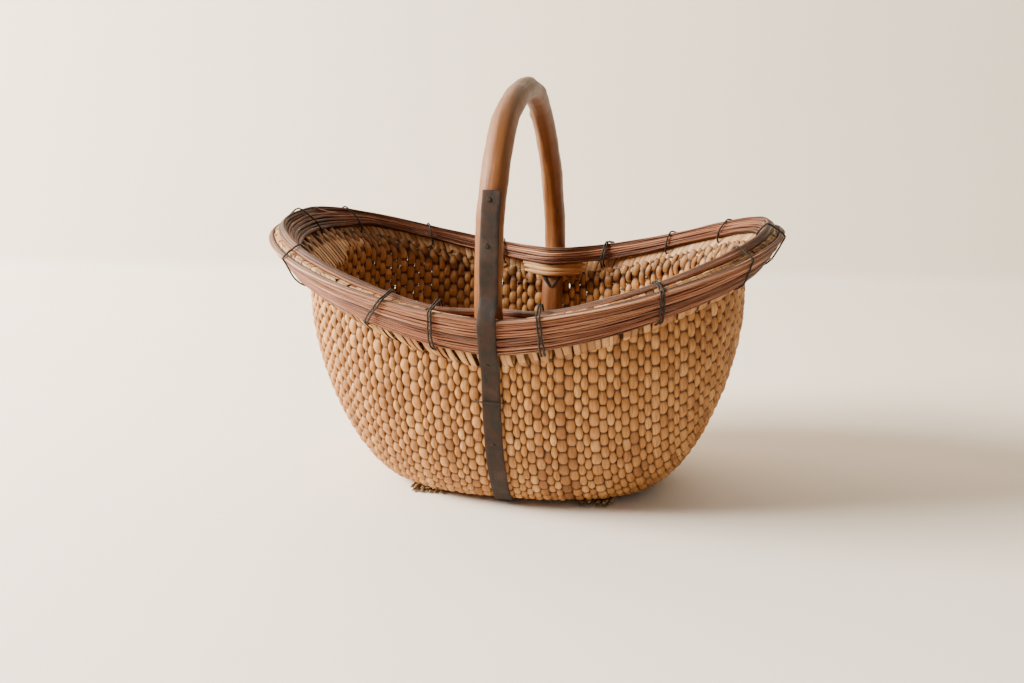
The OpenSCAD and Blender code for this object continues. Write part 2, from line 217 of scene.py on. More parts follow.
class Skin:
    """Collects tubes made of rings of points, then makes one mesh object of them."""

    def __init__(self):
        self.points = []
        self.quads = []
        self.triangles = []
        # The second attribute holds real dirt and wear on some parts and painted shade in creases
        # and gaps on others.
        self.attributes = {"tone": [], "dirt_wear_and_shade": [], "grain": []}
        self.count = 0

    def add(self, rings, tone=0.5, dirt_wear_and_shade=0.0, grain=None, looped=False):
        """rings is (stations, sides, 3); tone and the dirt, wear and painted shade values broadcast
        to (stations, sides).
        """
        stations, sides, _ = rings.shape
        station = np.arange(stations if looped else stations - 1)[:, None]
        side = np.arange(sides)[None, :]
        after = (station + 1) % stations
        beside = (side + 1) % sides
        quads = np.stack([station * sides + side, after * sides + side,
                          after * sides + beside, station * sides + beside], -1).reshape(-1, 4)
        flat = rings.reshape(-1, 3)
        middle = flat.mean(0)
        a, b, c, d = (flat[quads[:, i]] - middle for i in range(4))
        volume = (np.cross(a, b) * c).sum() + (np.cross(a, c) * d).sum()
        if volume < 0:
            quads = quads[:, ::-1]
        points = [flat]
        triangles = []
        tones = [np.broadcast_to(tone, (stations, sides)).reshape(-1)]
        dirt_wear_and_shade_parts = [np.broadcast_to(dirt_wear_and_shade, (stations, sides)).reshape(-1)]
        grain = flat if grain is None else np.broadcast_to(grain, rings.shape).reshape(-1, 3)
        grains = [grain]
        if not looped:
            for end, index in ((0, len(flat)), (stations - 1, len(flat) + 1)):
                points.append(rings[end].mean(0, keepdims=True))
                tones.append(tones[0][end * sides:end * sides + 1])
                dirt_wear_and_shade_parts.append(dirt_wear_and_shade_parts[0][end * sides:end * sides + 1])
                grains.append(grains[0][end * sides:end * sides + 1])
                first = end * sides + np.arange(sides)
                second = end * sides + (np.arange(sides) + 1) % sides
                cap = np.stack([np.full(sides, index), first, second], -1)
                flip = (end == 0) == (volume < 0)
                triangles.append(cap[:, ::-1] if flip else cap)
        points = np.concatenate(points)
        self.points.append(points)
        self.quads.append(quads + self.count)
        self.triangles += [cap + self.count for cap in triangles]
        self.attributes["tone"].append(np.concatenate(tones))
        self.attributes["dirt_wear_and_shade"].append(np.concatenate(dirt_wear_and_shade_parts))
        self.attributes["grain"].append(np.concatenate(grains))
        self.count += len(points)

    def build(self, name, material, slot, *nodes):
        """Makes the object, rides it on the root body and lets it stand for CAD nodes."""
        points = np.concatenate(self.points) * MM
        quads = np.concatenate(self.quads)
        triangles = np.concatenate(self.triangles) if self.triangles else np.zeros((0, 3), int)
        mesh = bpy.data.meshes.new(name)
        mesh.vertices.add(len(points))
        mesh.vertices.foreach_set("co", points.astype(np.float32).ravel())
        corners = np.concatenate([quads.ravel(), triangles.ravel()])
        sizes = np.concatenate([np.full(len(quads), 4), np.full(len(triangles), 3)])
        starts = np.concatenate([[0], np.cumsum(sizes)[:-1]])
        mesh.loops.add(len(corners))
        mesh.loops.foreach_set("vertex_index", corners.astype(np.int32))
        mesh.polygons.add(len(sizes))
        mesh.polygons.foreach_set("loop_start", starts.astype(np.int32))
        mesh.update(calc_edges=True)
        mesh.validate()
        mesh.polygons.foreach_set("use_smooth", np.ones(len(mesh.polygons), bool))
        for key in ("tone", "dirt_wear_and_shade"):
            layer = mesh.attributes.new(key, "FLOAT", "POINT")
            values = np.concatenate(self.attributes[key]).astype(np.float32)
            layer.data.foreach_set("value", values)
        layer = mesh.attributes.new("grain", "FLOAT_VECTOR", "POINT")
        values = (np.concatenate(self.attributes["grain"]) * MM).astype(np.float32)
        layer.data.foreach_set("vector", values.ravel())
        mesh.materials.append(material)
        piece = bpy.data.objects.new(name, mesh)
        bpy.context.scene.collection.objects.link(piece)
        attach(piece, "root")
        if nodes:
            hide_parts(*nodes)
        return piece


def grain_of(along, across, offset):
    """Coordinates for a strand's grain: along it, across it, and an offset of its own."""
    return np.stack(np.broadcast_arrays(along, across, offset), -1)


def travelled(path):
    """Distance along a path to each of its points."""
    steps = np.linalg.norm(np.diff(path, axis=0), axis=1)
    return np.concatenate([[0], np.cumsum(steps)])


def between(goal, distance, values):
    """Rows of values at the goal distances."""
    return np.stack([np.interp(goal, distance, values[:, i]) for i in range(3)], -1)


def wander(distance, seed, wavelength, octaves=3):
    """Smooth repeatable noise in -1..1 along a distance."""
    random = np.random.default_rng(seed)
    total = 0
    for octave in range(octaves):
        cycle = wavelength / 1.9 ** octave
        phase, shift = random.uniform(0, TAU, 2)
        total = total + np.sin(distance * TAU / cycle + phase
                               + 0.7 * np.sin(distance / cycle + shift)) / 1.6 ** octave
    return total / 2


def ring_wander(distance, seed, around, waves, octaves=3):
    """Smooth noise that closes on itself after a distance of `around`."""
    random = np.random.default_rng(seed)
    total = 0
    for octave in range(octaves):
        count = round(waves * 2 ** octave)
        total = total + np.sin(distance / around * TAU * count
                               + random.uniform(0, TAU)) / 1.5 ** octave
    return total / 2


def path_frame(path, reference, looped=False):
    """Direction along a path, and two directions across it, the first square to `reference`."""
    if looped:
        along = np.roll(path, -1, 0) - np.roll(path, 1, 0)
    else:
        along = np.gradient(path, axis=0)
    along = unit(along)
    side = unit(np.cross(along, reference))
    return along, side, np.cross(side, along)


def resample(path, step):
    """Points at even spacing along a smooth curve through the given points."""
    lengths = travelled(path)
    count = max(3, int(round(lengths[-1] / step)) + 1)
    goal = np.linspace(0, lengths[-1], count)
    tangents = np.gradient(path, lengths, axis=0)
    index = np.clip(np.searchsorted(lengths, goal, side="right") - 1, 0, len(path) - 2)
    span = (lengths[index + 1] - lengths[index])[:, None]
    u = ((goal - lengths[index])[:, None]) / span
    h00 = 2 * u ** 3 - 3 * u ** 2 + 1
    h10 = u ** 3 - 2 * u ** 2 + u
    h01 = -2 * u ** 3 + 3 * u ** 2
    h11 = u ** 3 - u ** 2
    return (h00 * path[index] + h10 * span * tangents[index]
            + h01 * path[index + 1] + h11 * span * tangents[index + 1])


def tube(path, radius, reference, sides=8, looped=False, flat=1.0):
    """Rings of a round tube along a path; radius may vary along it."""
    _, side, up = path_frame(path, reference, looped)
    turn = np.linspace(0, TAU, sides, endpoint=False)
    radius = np.broadcast_to(radius, len(path))[:, None, None]
    return (path[:, None] + radius * np.cos(turn)[None, :, None] * side[:, None]
            + radius * flat * np.sin(turn)[None, :, None] * up[:, None])


# ---------------------------------------------------------------------------
# Materials
# ---------------------------------------------------------------------------

class Nodes:
    """A short way to write a material's node tree."""

    def __init__(self, name):
        self.material = bpy.data.materials.new(name)
        self.material.use_nodes = True
        self.tree = self.material.node_tree
        self.tree.nodes.clear()
        output = self.tree.nodes.new("ShaderNodeOutputMaterial")
        self.surface = self.tree.nodes.new("ShaderNodeBsdfPrincipled")
        self.link(self.surface.outputs[0], output.inputs[0])

    def link(self, source, target):
        """Joins an output to an input."""
        self.tree.links.new(source, target)

    def feed(self, socket, value):
        """Links a socket or sets a plain value."""
        if isinstance(value, bpy.types.NodeSocket):
            self.link(value, socket)
        else:
            socket.default_value = value

    def attribute(self, name, output="Fac"):
        """A mesh attribute."""
        node = self.tree.nodes.new("ShaderNodeAttribute")
        node.attribute_name = name
        return node.outputs[output]

    def scaled(self, vector, scale):
        """A vector scaled per axis."""
        node = self.tree.nodes.new("ShaderNodeVectorMath")
        node.operation = "MULTIPLY"
        self.link(vector, node.inputs[0])
        node.inputs[1].default_value = scale
        return node.outputs[0]

    def noise(self, vector, scale, detail=4.0, roughness=0.55, distortion=0.0):
        """Noise value."""
        node = self.tree.nodes.new("ShaderNodeTexNoise")
        self.link(vector, node.inputs["Vector"])
        node.inputs["Scale"].default_value = scale
        node.inputs["Detail"].default_value = detail
        node.inputs["Roughness"].default_value = roughness
        node.inputs["Distortion"].default_value = distortion
        return node.outputs["Fac"]

    def math(self, operation, a, b=0.0, clamp=False):
        """One arithmetic step."""
        node = self.tree.nodes.new("ShaderNodeMath")
        node.operation = operation
        node.use_clamp = clamp
        self.feed(node.inputs[0], a)
        self.feed(node.inputs[1], b)
        return node.outputs[0]

    def remap(self, value, low, high, to_low=0.0, to_high=1.0):
        """Smooth change of range."""
        node = self.tree.nodes.new("ShaderNodeMapRange")
        node.interpolation_type = "SMOOTHSTEP"
        self.feed(node.inputs["Value"], value)
        node.inputs["From Min"].default_value = low
        node.inputs["From Max"].default_value = high
        node.inputs["To Min"].default_value = to_low
        node.inputs["To Max"].default_value = to_high
        return node.outputs[0]

    def mix(self, share, a, b, mode="MIX"):
        """Mixes two colours."""
        node = self.tree.nodes.new("ShaderNodeMix")
        node.data_type = "RGBA"
        node.blend_type = mode
        self.feed(node.inputs["Factor"], share)
        self.feed(node.inputs["A"], (*a, 1) if isinstance(a, tuple) else a)
        self.feed(node.inputs["B"], (*b, 1) if isinstance(b, tuple) else b)
        return node.outputs["Result"]

    def bump(self, height, strength, distance, normal=None):
        """Bump from a height."""
        node = self.tree.nodes.new("ShaderNodeBump")
        node.inputs["Strength"].default_value = strength
        node.inputs["Distance"].default_value = distance
        self.link(height, node.inputs["Height"])
        if normal is not None:
            self.link(normal, node.inputs["Normal"])
        return node.outputs[0]

    def finish(self, color, roughness, normal=None, metallic=0.0, specular=0.4):
        """Feeds the surface and gives the material."""
        self.feed(self.surface.inputs["Base Color"], color)
        self.feed(self.surface.inputs["Roughness"], roughness)
        self.feed(self.surface.inputs["Metallic"], metallic)
        self.surface.inputs["Specular IOR Level"].default_value = specular
        if normal is not None:
            self.link(normal, self.surface.inputs["Normal"])
        return self.material


def willow_material(name, light, middle, dark, crease):
    """Peeled willow: each swelling its own tone, fine fibres along it and knots, with painted shade
    in the creases.
    """
    n = Nodes(name)
    grain = n.attribute("grain", "Vector")
    tone = n.attribute("tone")
    dirt_wear_and_shade = n.attribute("dirt_wear_and_shade")
    fibre = n.noise(n.scaled(grain, (60.0, 700.0, 700.0)), 1.0, 5.0, 0.6)
    patch = n.noise(grain, 45.0, 3.0)
    speck = n.noise(grain, 420.0, 2.0)
    value = n.math("ADD", tone, n.math("MULTIPLY", n.math("SUBTRACT", patch, 0.5), 0.55))
    color = n.mix(n.remap(value, 0.05, 0.55), dark, middle)
    color = n.mix(n.remap(value, 0.5, 1.05), color, light)
    color = n.mix(n.remap(fibre, 0.42, 0.68, 0.0, 0.6), color, dark)
    color = n.mix(n.remap(speck, 0.66, 0.78, 0.0, 0.7), color, crease)
    # Painted shade: creases and gaps darken towards the crease colour.
    color = n.mix(n.remap(dirt_wear_and_shade, 0.15, 1.0, 0.0, 0.92), color, crease)
    roughness = n.remap(fibre, 0.2, 0.8, 0.48, 0.68)
    normal = n.bump(fibre, 0.35, 0.0006)
    normal = n.bump(patch, 0.35, 0.0012, normal)
    return n.finish(color, roughness, normal, specular=0.35)


def reed_material(name, light, middle, dark):
    """Split reeds and bark slats: long fibres, grey worn crowns and dark splits, with painted shade
    in the gaps between them.
    """
    n = Nodes(name)
    grain = n.attribute("grain", "Vector")
    tone = n.attribute("tone")
    dirt_wear_and_shade = n.attribute("dirt_wear_and_shade")
    fibre = n.noise(n.scaled(grain, (9.0, 900.0, 900.0)), 1.0, 6.0, 0.65)
    streak = n.noise(n.scaled(grain, (5.0, 260.0, 260.0)), 1.0, 4.0, 0.6)
    patch = n.noise(n.scaled(grain, (14.0, 60.0, 60.0)), 1.0, 4.0)
    value = n.math("ADD", tone, n.math("MULTIPLY", n.math("SUBTRACT", streak, 0.5), 1.9))
    color = n.mix(n.remap(value, 0.0, 0.55), dark, middle)
    color = n.mix(n.remap(value, 0.5, 1.0), color, light)
    color = n.mix(n.remap(patch, 0.45, 0.7, 0.0, 0.35), color, light)
    color = n.mix(n.remap(fibre, 0.50, 0.62, 0.0, 0.85), color, dark)
    # Painted shade: the gaps between reeds darken to near black.
    color = n.mix(n.remap(dirt_wear_and_shade, 0.1, 1.0, 0.0, 0.9), color, (0.035, 0.018, 0.012))
    roughness = n.remap(fibre, 0.2, 0.8, 0.5, 0.72)
    normal = n.bump(fibre, 0.6, 0.0012)
    normal = n.bump(streak, 0.4, 0.0015, normal)
    return n.finish(color, roughness, normal, specular=0.35)


def branch_material():
    """Barked and handled branch: pale and smooth in front, darker behind, grey at the top."""
    n = Nodes("branch_wood")
    grain = n.attribute("grain", "Vector")
    tone = n.attribute("tone")
    dirt_wear_and_shade = n.attribute("dirt_wear_and_shade")
    fibre = n.noise(n.scaled(grain, (8.0, 420.0, 420.0)), 1.0, 6.0, 0.6, 0.4)
    streak = n.noise(n.scaled(grain, (5.0, 90.0, 90.0)), 1.0, 5.0, 0.6, 0.8)
    patch = n.noise(n.scaled(grain, (18.0, 40.0, 40.0)), 1.0, 5.0, 0.6)
    pale = n.mix(streak, (0.10, 0.030, 0.006), (0.26, 0.10, 0.029))
    deep = n.mix(streak, (0.075, 0.022, 0.004), (0.22, 0.075, 0.018))
    color = n.mix(tone, deep, pale)
    color = n.mix(n.remap(patch, 0.5, 0.72, 0.0, 0.4), color, (0.28, 0.125, 0.045))
    color = n.mix(n.remap(fibre, 0.56, 0.72, 0.0, 0.5), color, (0.13, 0.06, 0.03))
    grey = n.mix(patch, (0.035, 0.021, 0.011), (0.14, 0.092, 0.054))
    color = n.mix(dirt_wear_and_shade, color, grey)
    roughness = n.remap(streak, 0.2, 0.8, 0.38, 0.6)
    normal = n.bump(fibre, 0.45, 0.001)
    normal = n.bump(streak, 0.5, 0.002, normal)
    return n.finish(color, roughness, normal, specular=0.3)


def iron_material(name, dark, brown, bright):
    """Old strap iron: brown rust bloom over dark scale, pitted, rubbed along the edges."""
    n = Nodes(name)
    grain = n.attribute("grain", "Vector")
    dirt_wear_and_shade = n.attribute("dirt_wear_and_shade")
    bloom = n.noise(grain, 90.0, 6.0, 0.65)
    pits = n.noise(grain, 900.0, 4.0, 0.7)
    cloud = n.noise(grain, 28.0, 4.0)
    color = n.mix(n.remap(bloom, 0.35, 0.65), dark, brown)
    color = n.mix(n.remap(cloud, 0.5, 0.75, 0.0, 0.6), color, bright)
    color = n.mix(n.remap(pits, 0.6, 0.75, 0.0, 0.5), color, (0.015, 0.011, 0.009))
    color = n.mix(dirt_wear_and_shade, color, bright)
    roughness = n.remap(bloom, 0.3, 0.7, 0.5, 0.78)
    normal = n.bump(pits, 0.5, 0.0006)
    normal = n.bump(bloom, 0.3, 0.001, normal)
    return n.finish(color, roughness, normal, metallic=0.2, specular=0.25)


def floor_material():
    """Pale floor, see-through from its back so views from behind are clear."""
    n = Nodes("pale_floor")
    geometry = n.tree.nodes.new("ShaderNodeNewGeometry")
    soft = n.noise(geometry.outputs["Position"], 3.0, 3.0)
    color = n.mix(soft, (0.84, 0.758, 0.645), (0.88, 0.80, 0.69))
    seen_from_front = n.math("SUBTRACT", 1.0, geometry.outputs["Backfacing"])
    n.link(seen_from_front, n.surface.inputs["Alpha"])
    return n.finish(color, 0.75, specular=0.2)


WILLOW = willow_material("peeled_willow", (0.68, 0.37, 0.14), (0.42, 0.188, 0.05),
                         (0.19, 0.068, 0.014), (0.026, 0.009, 0.003))
SPLINT = willow_material("willow_splint", (0.70, 0.46, 0.24), (0.50, 0.27, 0.105),
                         (0.27, 0.115, 0.036), (0.04, 0.016, 0.006))
CORD = willow_material("hemp_cord", (0.16, 0.085, 0.04), (0.11, 0.055, 0.025),
                       (0.06, 0.03, 0.014), (0.03, 0.015, 0.008))
REED = reed_material("rim_reed", (0.58, 0.31, 0.17), (0.27, 0.088, 0.038),
                     (0.06, 0.019, 0.008))
BRANCH = branch_material()
IRON = iron_material("strap_iron", (0.012, 0.008, 0.006), (0.034, 0.017, 0.010),
                     (0.060, 0.038, 0.026))
WIRE = iron_material("binding_wire", (0.008, 0.007, 0.006), (0.018, 0.014, 0.011),
                     (0.038, 0.032, 0.028))
RUNNER = willow_material("runner_wood", (0.52, 0.38, 0.21), (0.34, 0.22, 0.11),
                         (0.17, 0.10, 0.05), (0.04, 0.02, 0.01))


# ---------------------------------------------------------------------------
# Willow rods and hemp cords of the weave
# ---------------------------------------------------------------------------

# Rods come in twos, two broad and two narrow. Each swell is (waist, rise, power), as shares of
# the rod's half width, on its outer and on its inner side. A rod is wider where its neighbours
# are far apart, within the crowd limits.
ROD_WIDTHS = (9.2, 8.8, 6.7, 6.4)
WIDTH_SPREAD = 0.07
BROAD_SWELLS = ((0.82, 0.27, 0.8), (0.97, 0.14, 0.6))
NARROW_SWELLS = ((0.64, 0.54, 1.0), (0.92, 0.28, 0.9))
CROWD_LIMITS = (0.6, 2.15)
ROD_DEPTH = 3.7
ROD_STEP = 1.5
ROD_SIDES = 10
RODS_PER_PIECE = 12
TONE_COUNT = 400

# Rods are laid out by carrying a line sideways over the body, step by step
FRONT_STEP = 1.0
LINE_STEP = 6.0
FEWEST_POINTS = 6
BEND_EASE = 14.0
BEND_LIMITS = (-0.004, 0.05)
BASE_MEASURE = 40.0
CORE_SHARE = 0.6
CORE_HEIGHT = 140.0
RAY_LENGTH = 420.0
RAY_HALVINGS = 30

# How far the splints hang down outside, and how much of each rod's end they cover
SPLINT_DROP = 45.5
SPLINT_COVER = 16.0

# Cords bite into the rods. They follow level rows where the wall is steeper than STEEP says.
BITE_REACH = 1.5
BITE_DEPTH = 0.30
BITE_SPACING = 8
ROD_SWING = 0.85
END_SINK = 1.9
STEEP = (0.4, 0.8)
CORD_REACH = 330
CORD_RADIUS = 0.8
CORD_STEP = 2.6
CORD_LIFT = 1.95
CORD_SPACING_BASE = 6.0
CORD_SPACING_MORE = 2.1
CORD_SPACING_CHANGE = (85, 150)
CORD_WANDER = 0.045
CORDS_BEYOND = 10
FEWEST_CROSSINGS = 5


def plan_angle(points):
    """Angle parameter of points on the wall, as plan_point takes it."""
    half_length, half_width = wall_half_sizes(points[..., 2])
    return np.arctan2(power(points[..., 1] / half_width, PLAN_ROUNDNESS / 2),
                      power(points[..., 0] / half_length, PLAN_ROUNDNESS / 2))


def outside_measure(points):
    """Positive outside the woven body, negative inside it."""
    x, y, z = points[..., 0], points[..., 1], points[..., 2]
    half_length, half_width = wall_half_sizes(z)
    plan = np.abs(x / half_length) ** PLAN_ROUNDNESS + np.abs(y / half_width) ** PLAN_ROUNDNESS - 1
    return np.maximum(plan, (BASE_Z - z) / BASE_MEASURE)


def surface_normal(points):
    """Outward direction on the woven body, with the flat base facing down."""
    step = 0.4
    slopes = []
    for axis in range(3):
        shift = np.zeros(3)
        shift[axis] = step
        slopes.append(outside_measure(points + shift) - outside_measure(points - shift))
    return unit(np.stack(slopes, -1))


def on_body(points):
    """Moves points on to the woven body, along lines from inside the basket."""
    centre = points * [CORE_SHARE, 0, 0] + [0, 0, CORE_HEIGHT]
    ray = unit(points - centre)
    near = np.zeros(len(points))
    far = np.full(len(points), RAY_LENGTH)
    for _ in range(RAY_HALVINGS):
        half = (near + far) / 2
        outside = outside_measure(centre + ray * half[:, None]) > 0
        far = np.where(outside, half, far)
        near = np.where(outside, near, half)
    return centre + ray * near[:, None]


def trimmed(line):
    """Cuts a line over the body at the weave's top edge; gives nothing when too little is left."""
    reach = np.array([[14.0], [7.0]])
    front = line[0] + unit(line[0] - line[1]) * reach
    rear = line[-1] + unit(line[-1] - line[-2]) * reach[::-1]
    line = np.concatenate([on_body(front), line, on_body(rear)])
    above = line[:, 2] - saddle(plan_angle(line), WEAVE_TOP)
    inside = np.flatnonzero(above < 0)
    if len(inside) < 4 or inside[0] == 0 or inside[-1] == len(line) - 1:
        return line[:0]
    first, last = inside[0], inside[-1]
    share = above[first - 1] / (above[first - 1] - above[first])
    start = line[first - 1] + (line[first] - line[first - 1]) * share
    share = above[last + 1] / (above[last + 1] - above[last])
    end = line[last + 1] + (line[last] - line[last + 1]) * share
    keep_first = first + int(np.linalg.norm(line[first] - start) < 1.0)
    keep_last = last - int(np.linalg.norm(line[last] - end) < 1.0)
    return np.concatenate([[start], line[keep_first:keep_last + 1], [end]])


def moved_front(line, sign, distance):
    """Carries a rod's line sideways over the body, easing round any sharp bend."""
    steps = max(1, math.ceil(distance / FRONT_STEP))
    for _ in range(steps):
        along = unit(np.gradient(line, axis=0))
        side = unit(np.cross(along, surface_normal(line)))
        spacing = np.linalg.norm(line[1] - line[0])
        curve = np.zeros_like(line)
        curve[1:-1] = (line[:-2] - 2 * line[1:-1] + line[2:]) / spacing ** 2
        outward = side * np.sign(side[len(line) // 2] @ [sign, 0, 1])
        bend = np.clip((curve * outward).sum(-1, keepdims=True), *BEND_LIMITS)
        line = line + outward * (1 + BEND_EASE * bend) * distance / steps
        line = on_body(line)
        line = trimmed((line + line[::-1] * [1, -1, 1]) / 2)
        if not len(line):
            break
        line = on_body(resample(line, LINE_STEP))
    return line


def middle_line():
    """The basket's cross-section under the handle, from the front edge to the rear edge."""
    sweep = np.linspace(0.0, math.pi, 161)
    goal = np.stack([0 * sweep, -200 * np.cos(sweep), WEAVE_TOP[0] - 190 * np.sin(sweep)], -1)
    return resample(trimmed(on_body(goal)), LINE_STEP)


def rod_lines():
    """Each rod's line over the body, with its width, from the left end to the right end."""
    random = np.random.default_rng(11)
    rods = []
    for sign in (-1, 1):
        line = middle_line()
        before = 0.0
        index = 0
        while True:
            kind = index % 4 if sign > 0 else 3 - index % 4
            width = ROD_WIDTHS[kind] * (1 + WIDTH_SPREAD * random.standard_normal())
            line = moved_front(line, sign, before / 2 + width / 2)
            if len(line) < FEWEST_POINTS:
                break
            rods.append((sign * index + sign, on_body(resample(line, ROD_STEP)), width, kind < 2))
            before = width
            index += 1
    return sorted(rods, key=lambda rod: rod[0])


def nearest(points, line):
    """Distance from each point to the nearest point of a line."""
    return np.sqrt(((points[:, None] - line[None]) ** 2).sum(-1).min(1))


def cord_places():
    """Distance of each cord from the middle of a rod: closer under the base than up the wall."""
    places = [0.0]
    while places[-1] < CORD_REACH:
        share = smooth_step(*CORD_SPACING_CHANGE, places[-1])
        spacing = CORD_SPACING_BASE + CORD_SPACING_MORE * share
        places.append(places[-1] + float(spacing))
    return np.array(places)


def height_counts(line):
    """Cord count at each height of the wall, as the middle rod has it."""
    lengths = travelled(line)
    distance = lengths - np.interp(0, line[:, 1], lengths)
    rear = distance > 0
    cords = cord_places()
    count = np.interp(distance[rear], cords, np.arange(len(cords)))
    heights = np.maximum.accumulate(line[rear, 2] + 1e-4 * np.arange(rear.sum()))
    beyond = heights[-1] + CORDS_BEYOND * (CORD_SPACING_BASE + CORD_SPACING_MORE)
    return np.append(heights, beyond), np.append(count, count[-1] + CORDS_BEYOND)


def weave_phase(rod, distance, course, heights, counts):
    """Cord count along a rod: cords cross it at whole numbers, in level rows on the walls."""
    cords = cord_places()
    low = np.interp(np.abs(distance), cords, np.arange(len(cords)))
    level = np.interp(course[:, 2], heights, counts)
    steep = np.abs(np.gradient(course[:, 2], distance))
    middle = len(distance) // 2
    share = smooth_step(*STEEP, steep)
    rear = np.maximum.accumulate(share[middle:])
    share = np.concatenate([rear[:0:-1], rear])
    turn = middle + int(np.argmax(rear > 0.5)) if rear.max() > 0.5 else len(distance) - 1
    apart = 2 * np.round((level[turn] - low[turn]) / 2)
    count = low + share * (level - apart - low)
    rear = np.maximum.accumulate(count[middle:] + 1e-4 * np.arange(len(count) - middle))
    count = np.concatenate([-rear[:0:-1], rear])
    return count + CORD_WANDER * wander(distance, 1300 + rod, 60) + rod % 2


def rod_course(line):
    """A rod's line by distance from its middle, with its ends run up under the splints."""
    t = plan_angle(line[[0, -1]])
    _, up, _, brim = rim_frame(t)
    tuck = (brim - SPLINT_DROP + SPLINT_COVER)[:, None, None]
    steps = np.linspace(1, 0.1, 12)[None, :, None]
    ends = line[[0, -1]][:, None] + up[:, None] * tuck * steps
    line = np.concatenate([ends[0], line, ends[1][::-1]])
    lengths = travelled(line)
    middle = np.interp(0, line[:, 1], lengths)
    half = min(middle, lengths[-1] - middle)
    count = int(2 * half / ROD_STEP) | 1
    distance = np.linspace(-half, half, count)
    course = between(distance + middle, lengths, line)
    course[2:-2] = (course[:-4] + course[1:-3] + course[2:-2] + course[3:-1] + course[4:]) / 5
    return distance, course


def rod_sheet():
    """Every rod's course, direction frame and width, ready for rods and cords alike."""
    rods = rod_lines()
    heights, counts = height_counts(on_body(resample(middle_line(), ROD_STEP)))
    sheet = []
    for index, (_, line, width, broad) in enumerate(rods):
        distance, course = rod_course(line)
        body = course.copy()
        body[:, 2] = np.minimum(body[:, 2], saddle(plan_angle(course), WEAVE_TOP))
        normal = surface_normal(body)
        kernel = np.ones(7) / 7
        padded = np.pad(normal, ((3, 3), (0, 0)), mode="edge")
        normal = unit(np.stack([np.convolve(padded[:, i], kernel, "valid") for i in range(3)], -1))
        along = unit(np.gradient(course, axis=0))
        side = unit(np.cross(along, normal))
        side *= 1 if side[len(side) // 2, 0] > 0 else -1
        normal = unit(normal - along * (normal * along).sum(-1, keepdims=True))
        room = []
        for other in (index - 1, index + 1):
            if 0 <= other < len(rods):
                usual = (width + rods[other][2]) / 2
                room.append(nearest(line, rods[other][1]) / usual)
        lengths = travelled(line)
        line_distance = lengths - np.interp(0, line[:, 1], lengths)
        crowd = np.clip(np.interp(distance, line_distance, sum(room) / len(room)),
                        *CROWD_LIMITS)
        sheet.append(dict(width=width, broad=broad, distance=distance, course=course,
                          normal=normal, side=side, crowd=crowd,
                          phase=weave_phase(index, distance, course, heights, counts)))
    return sheet


def rod_rings(rod, data, random):
    """One rod, swelling between the cords that press into it from either side."""
    distance = data["distance"]
    phase = data["phase"]
    beat = np.cos(math.pi * phase)
    to_outer = np.abs((phase / 2 - np.round(phase / 2)) * 2) * BITE_SPACING
    to_inner = BITE_SPACING - to_outer
    outer_bite = np.exp(-(to_outer / BITE_REACH) ** 2)
    inner_bite = np.exp(-(to_inner / BITE_REACH) ** 2)
    outer_swell = np.abs(np.sin(math.pi * phase / 2))
    inner_swell = np.abs(np.cos(math.pi * phase / 2))
    half = 0.5 * data["width"] * data["crowd"]
    outer, inner = BROAD_SWELLS if data["broad"] else NARROW_SWELLS
    outer_half = half * (outer[0] + outer[1] * outer_swell ** outer[2])
    inner_half = half * (inner[0] + inner[1] * inner_swell ** inner[2])
    end = np.minimum(distance - distance[0], distance[-1] - distance)
    frayed = 1 - (0.16 * (1 - smooth_step(SPLINT_COVER - 1, SPLINT_COVER + 12, end))
                  * random.uniform(0.2, 1.0))
    outer_half = outer_half * frayed
    inner_half = inner_half * frayed
    wobble = 0.35 * wander(distance, 500 + rod, 60)
    lift = -ROD_SWING * beat + 0.25 * wander(distance, 900 + rod, 45) + random.uniform(-0.25, 0.25)
    lift = lift - END_SINK * (1 - smooth_step(SPLINT_COVER - 4, SPLINT_COVER + 6, end))
    outer_depth = ROD_DEPTH * (1 - BITE_DEPTH * outer_bite)
    inner_depth = ROD_DEPTH * (1 - BITE_DEPTH * inner_bite)
    centre = (data["course"] - (WALL_THICKNESS / 2) * data["normal"]
              + lift[:, None] * data["normal"] + wobble[:, None] * data["side"])
    turn = np.linspace(0, TAU, ROD_SIDES, endpoint=False) + math.pi / ROD_SIDES
    up = np.sin(turn) > 0
    roundness = np.where(up, 0.86, 0.72)
    round_side = power(np.cos(turn), roundness)
    round_up = power(np.sin(turn), roundness)
    half_width = np.where(up[None], outer_half[:, None], inner_half[:, None])
    depth = np.where(up[None], outer_depth[:, None], inner_depth[:, None])
    rings = (centre[:, None]
             + (half_width * round_side[None])[..., None] * data["side"][:, None]
             + (depth * round_up[None])[..., None] * data["normal"][:, None])
    return rings, phase, turn, outer_bite, inner_bite, end


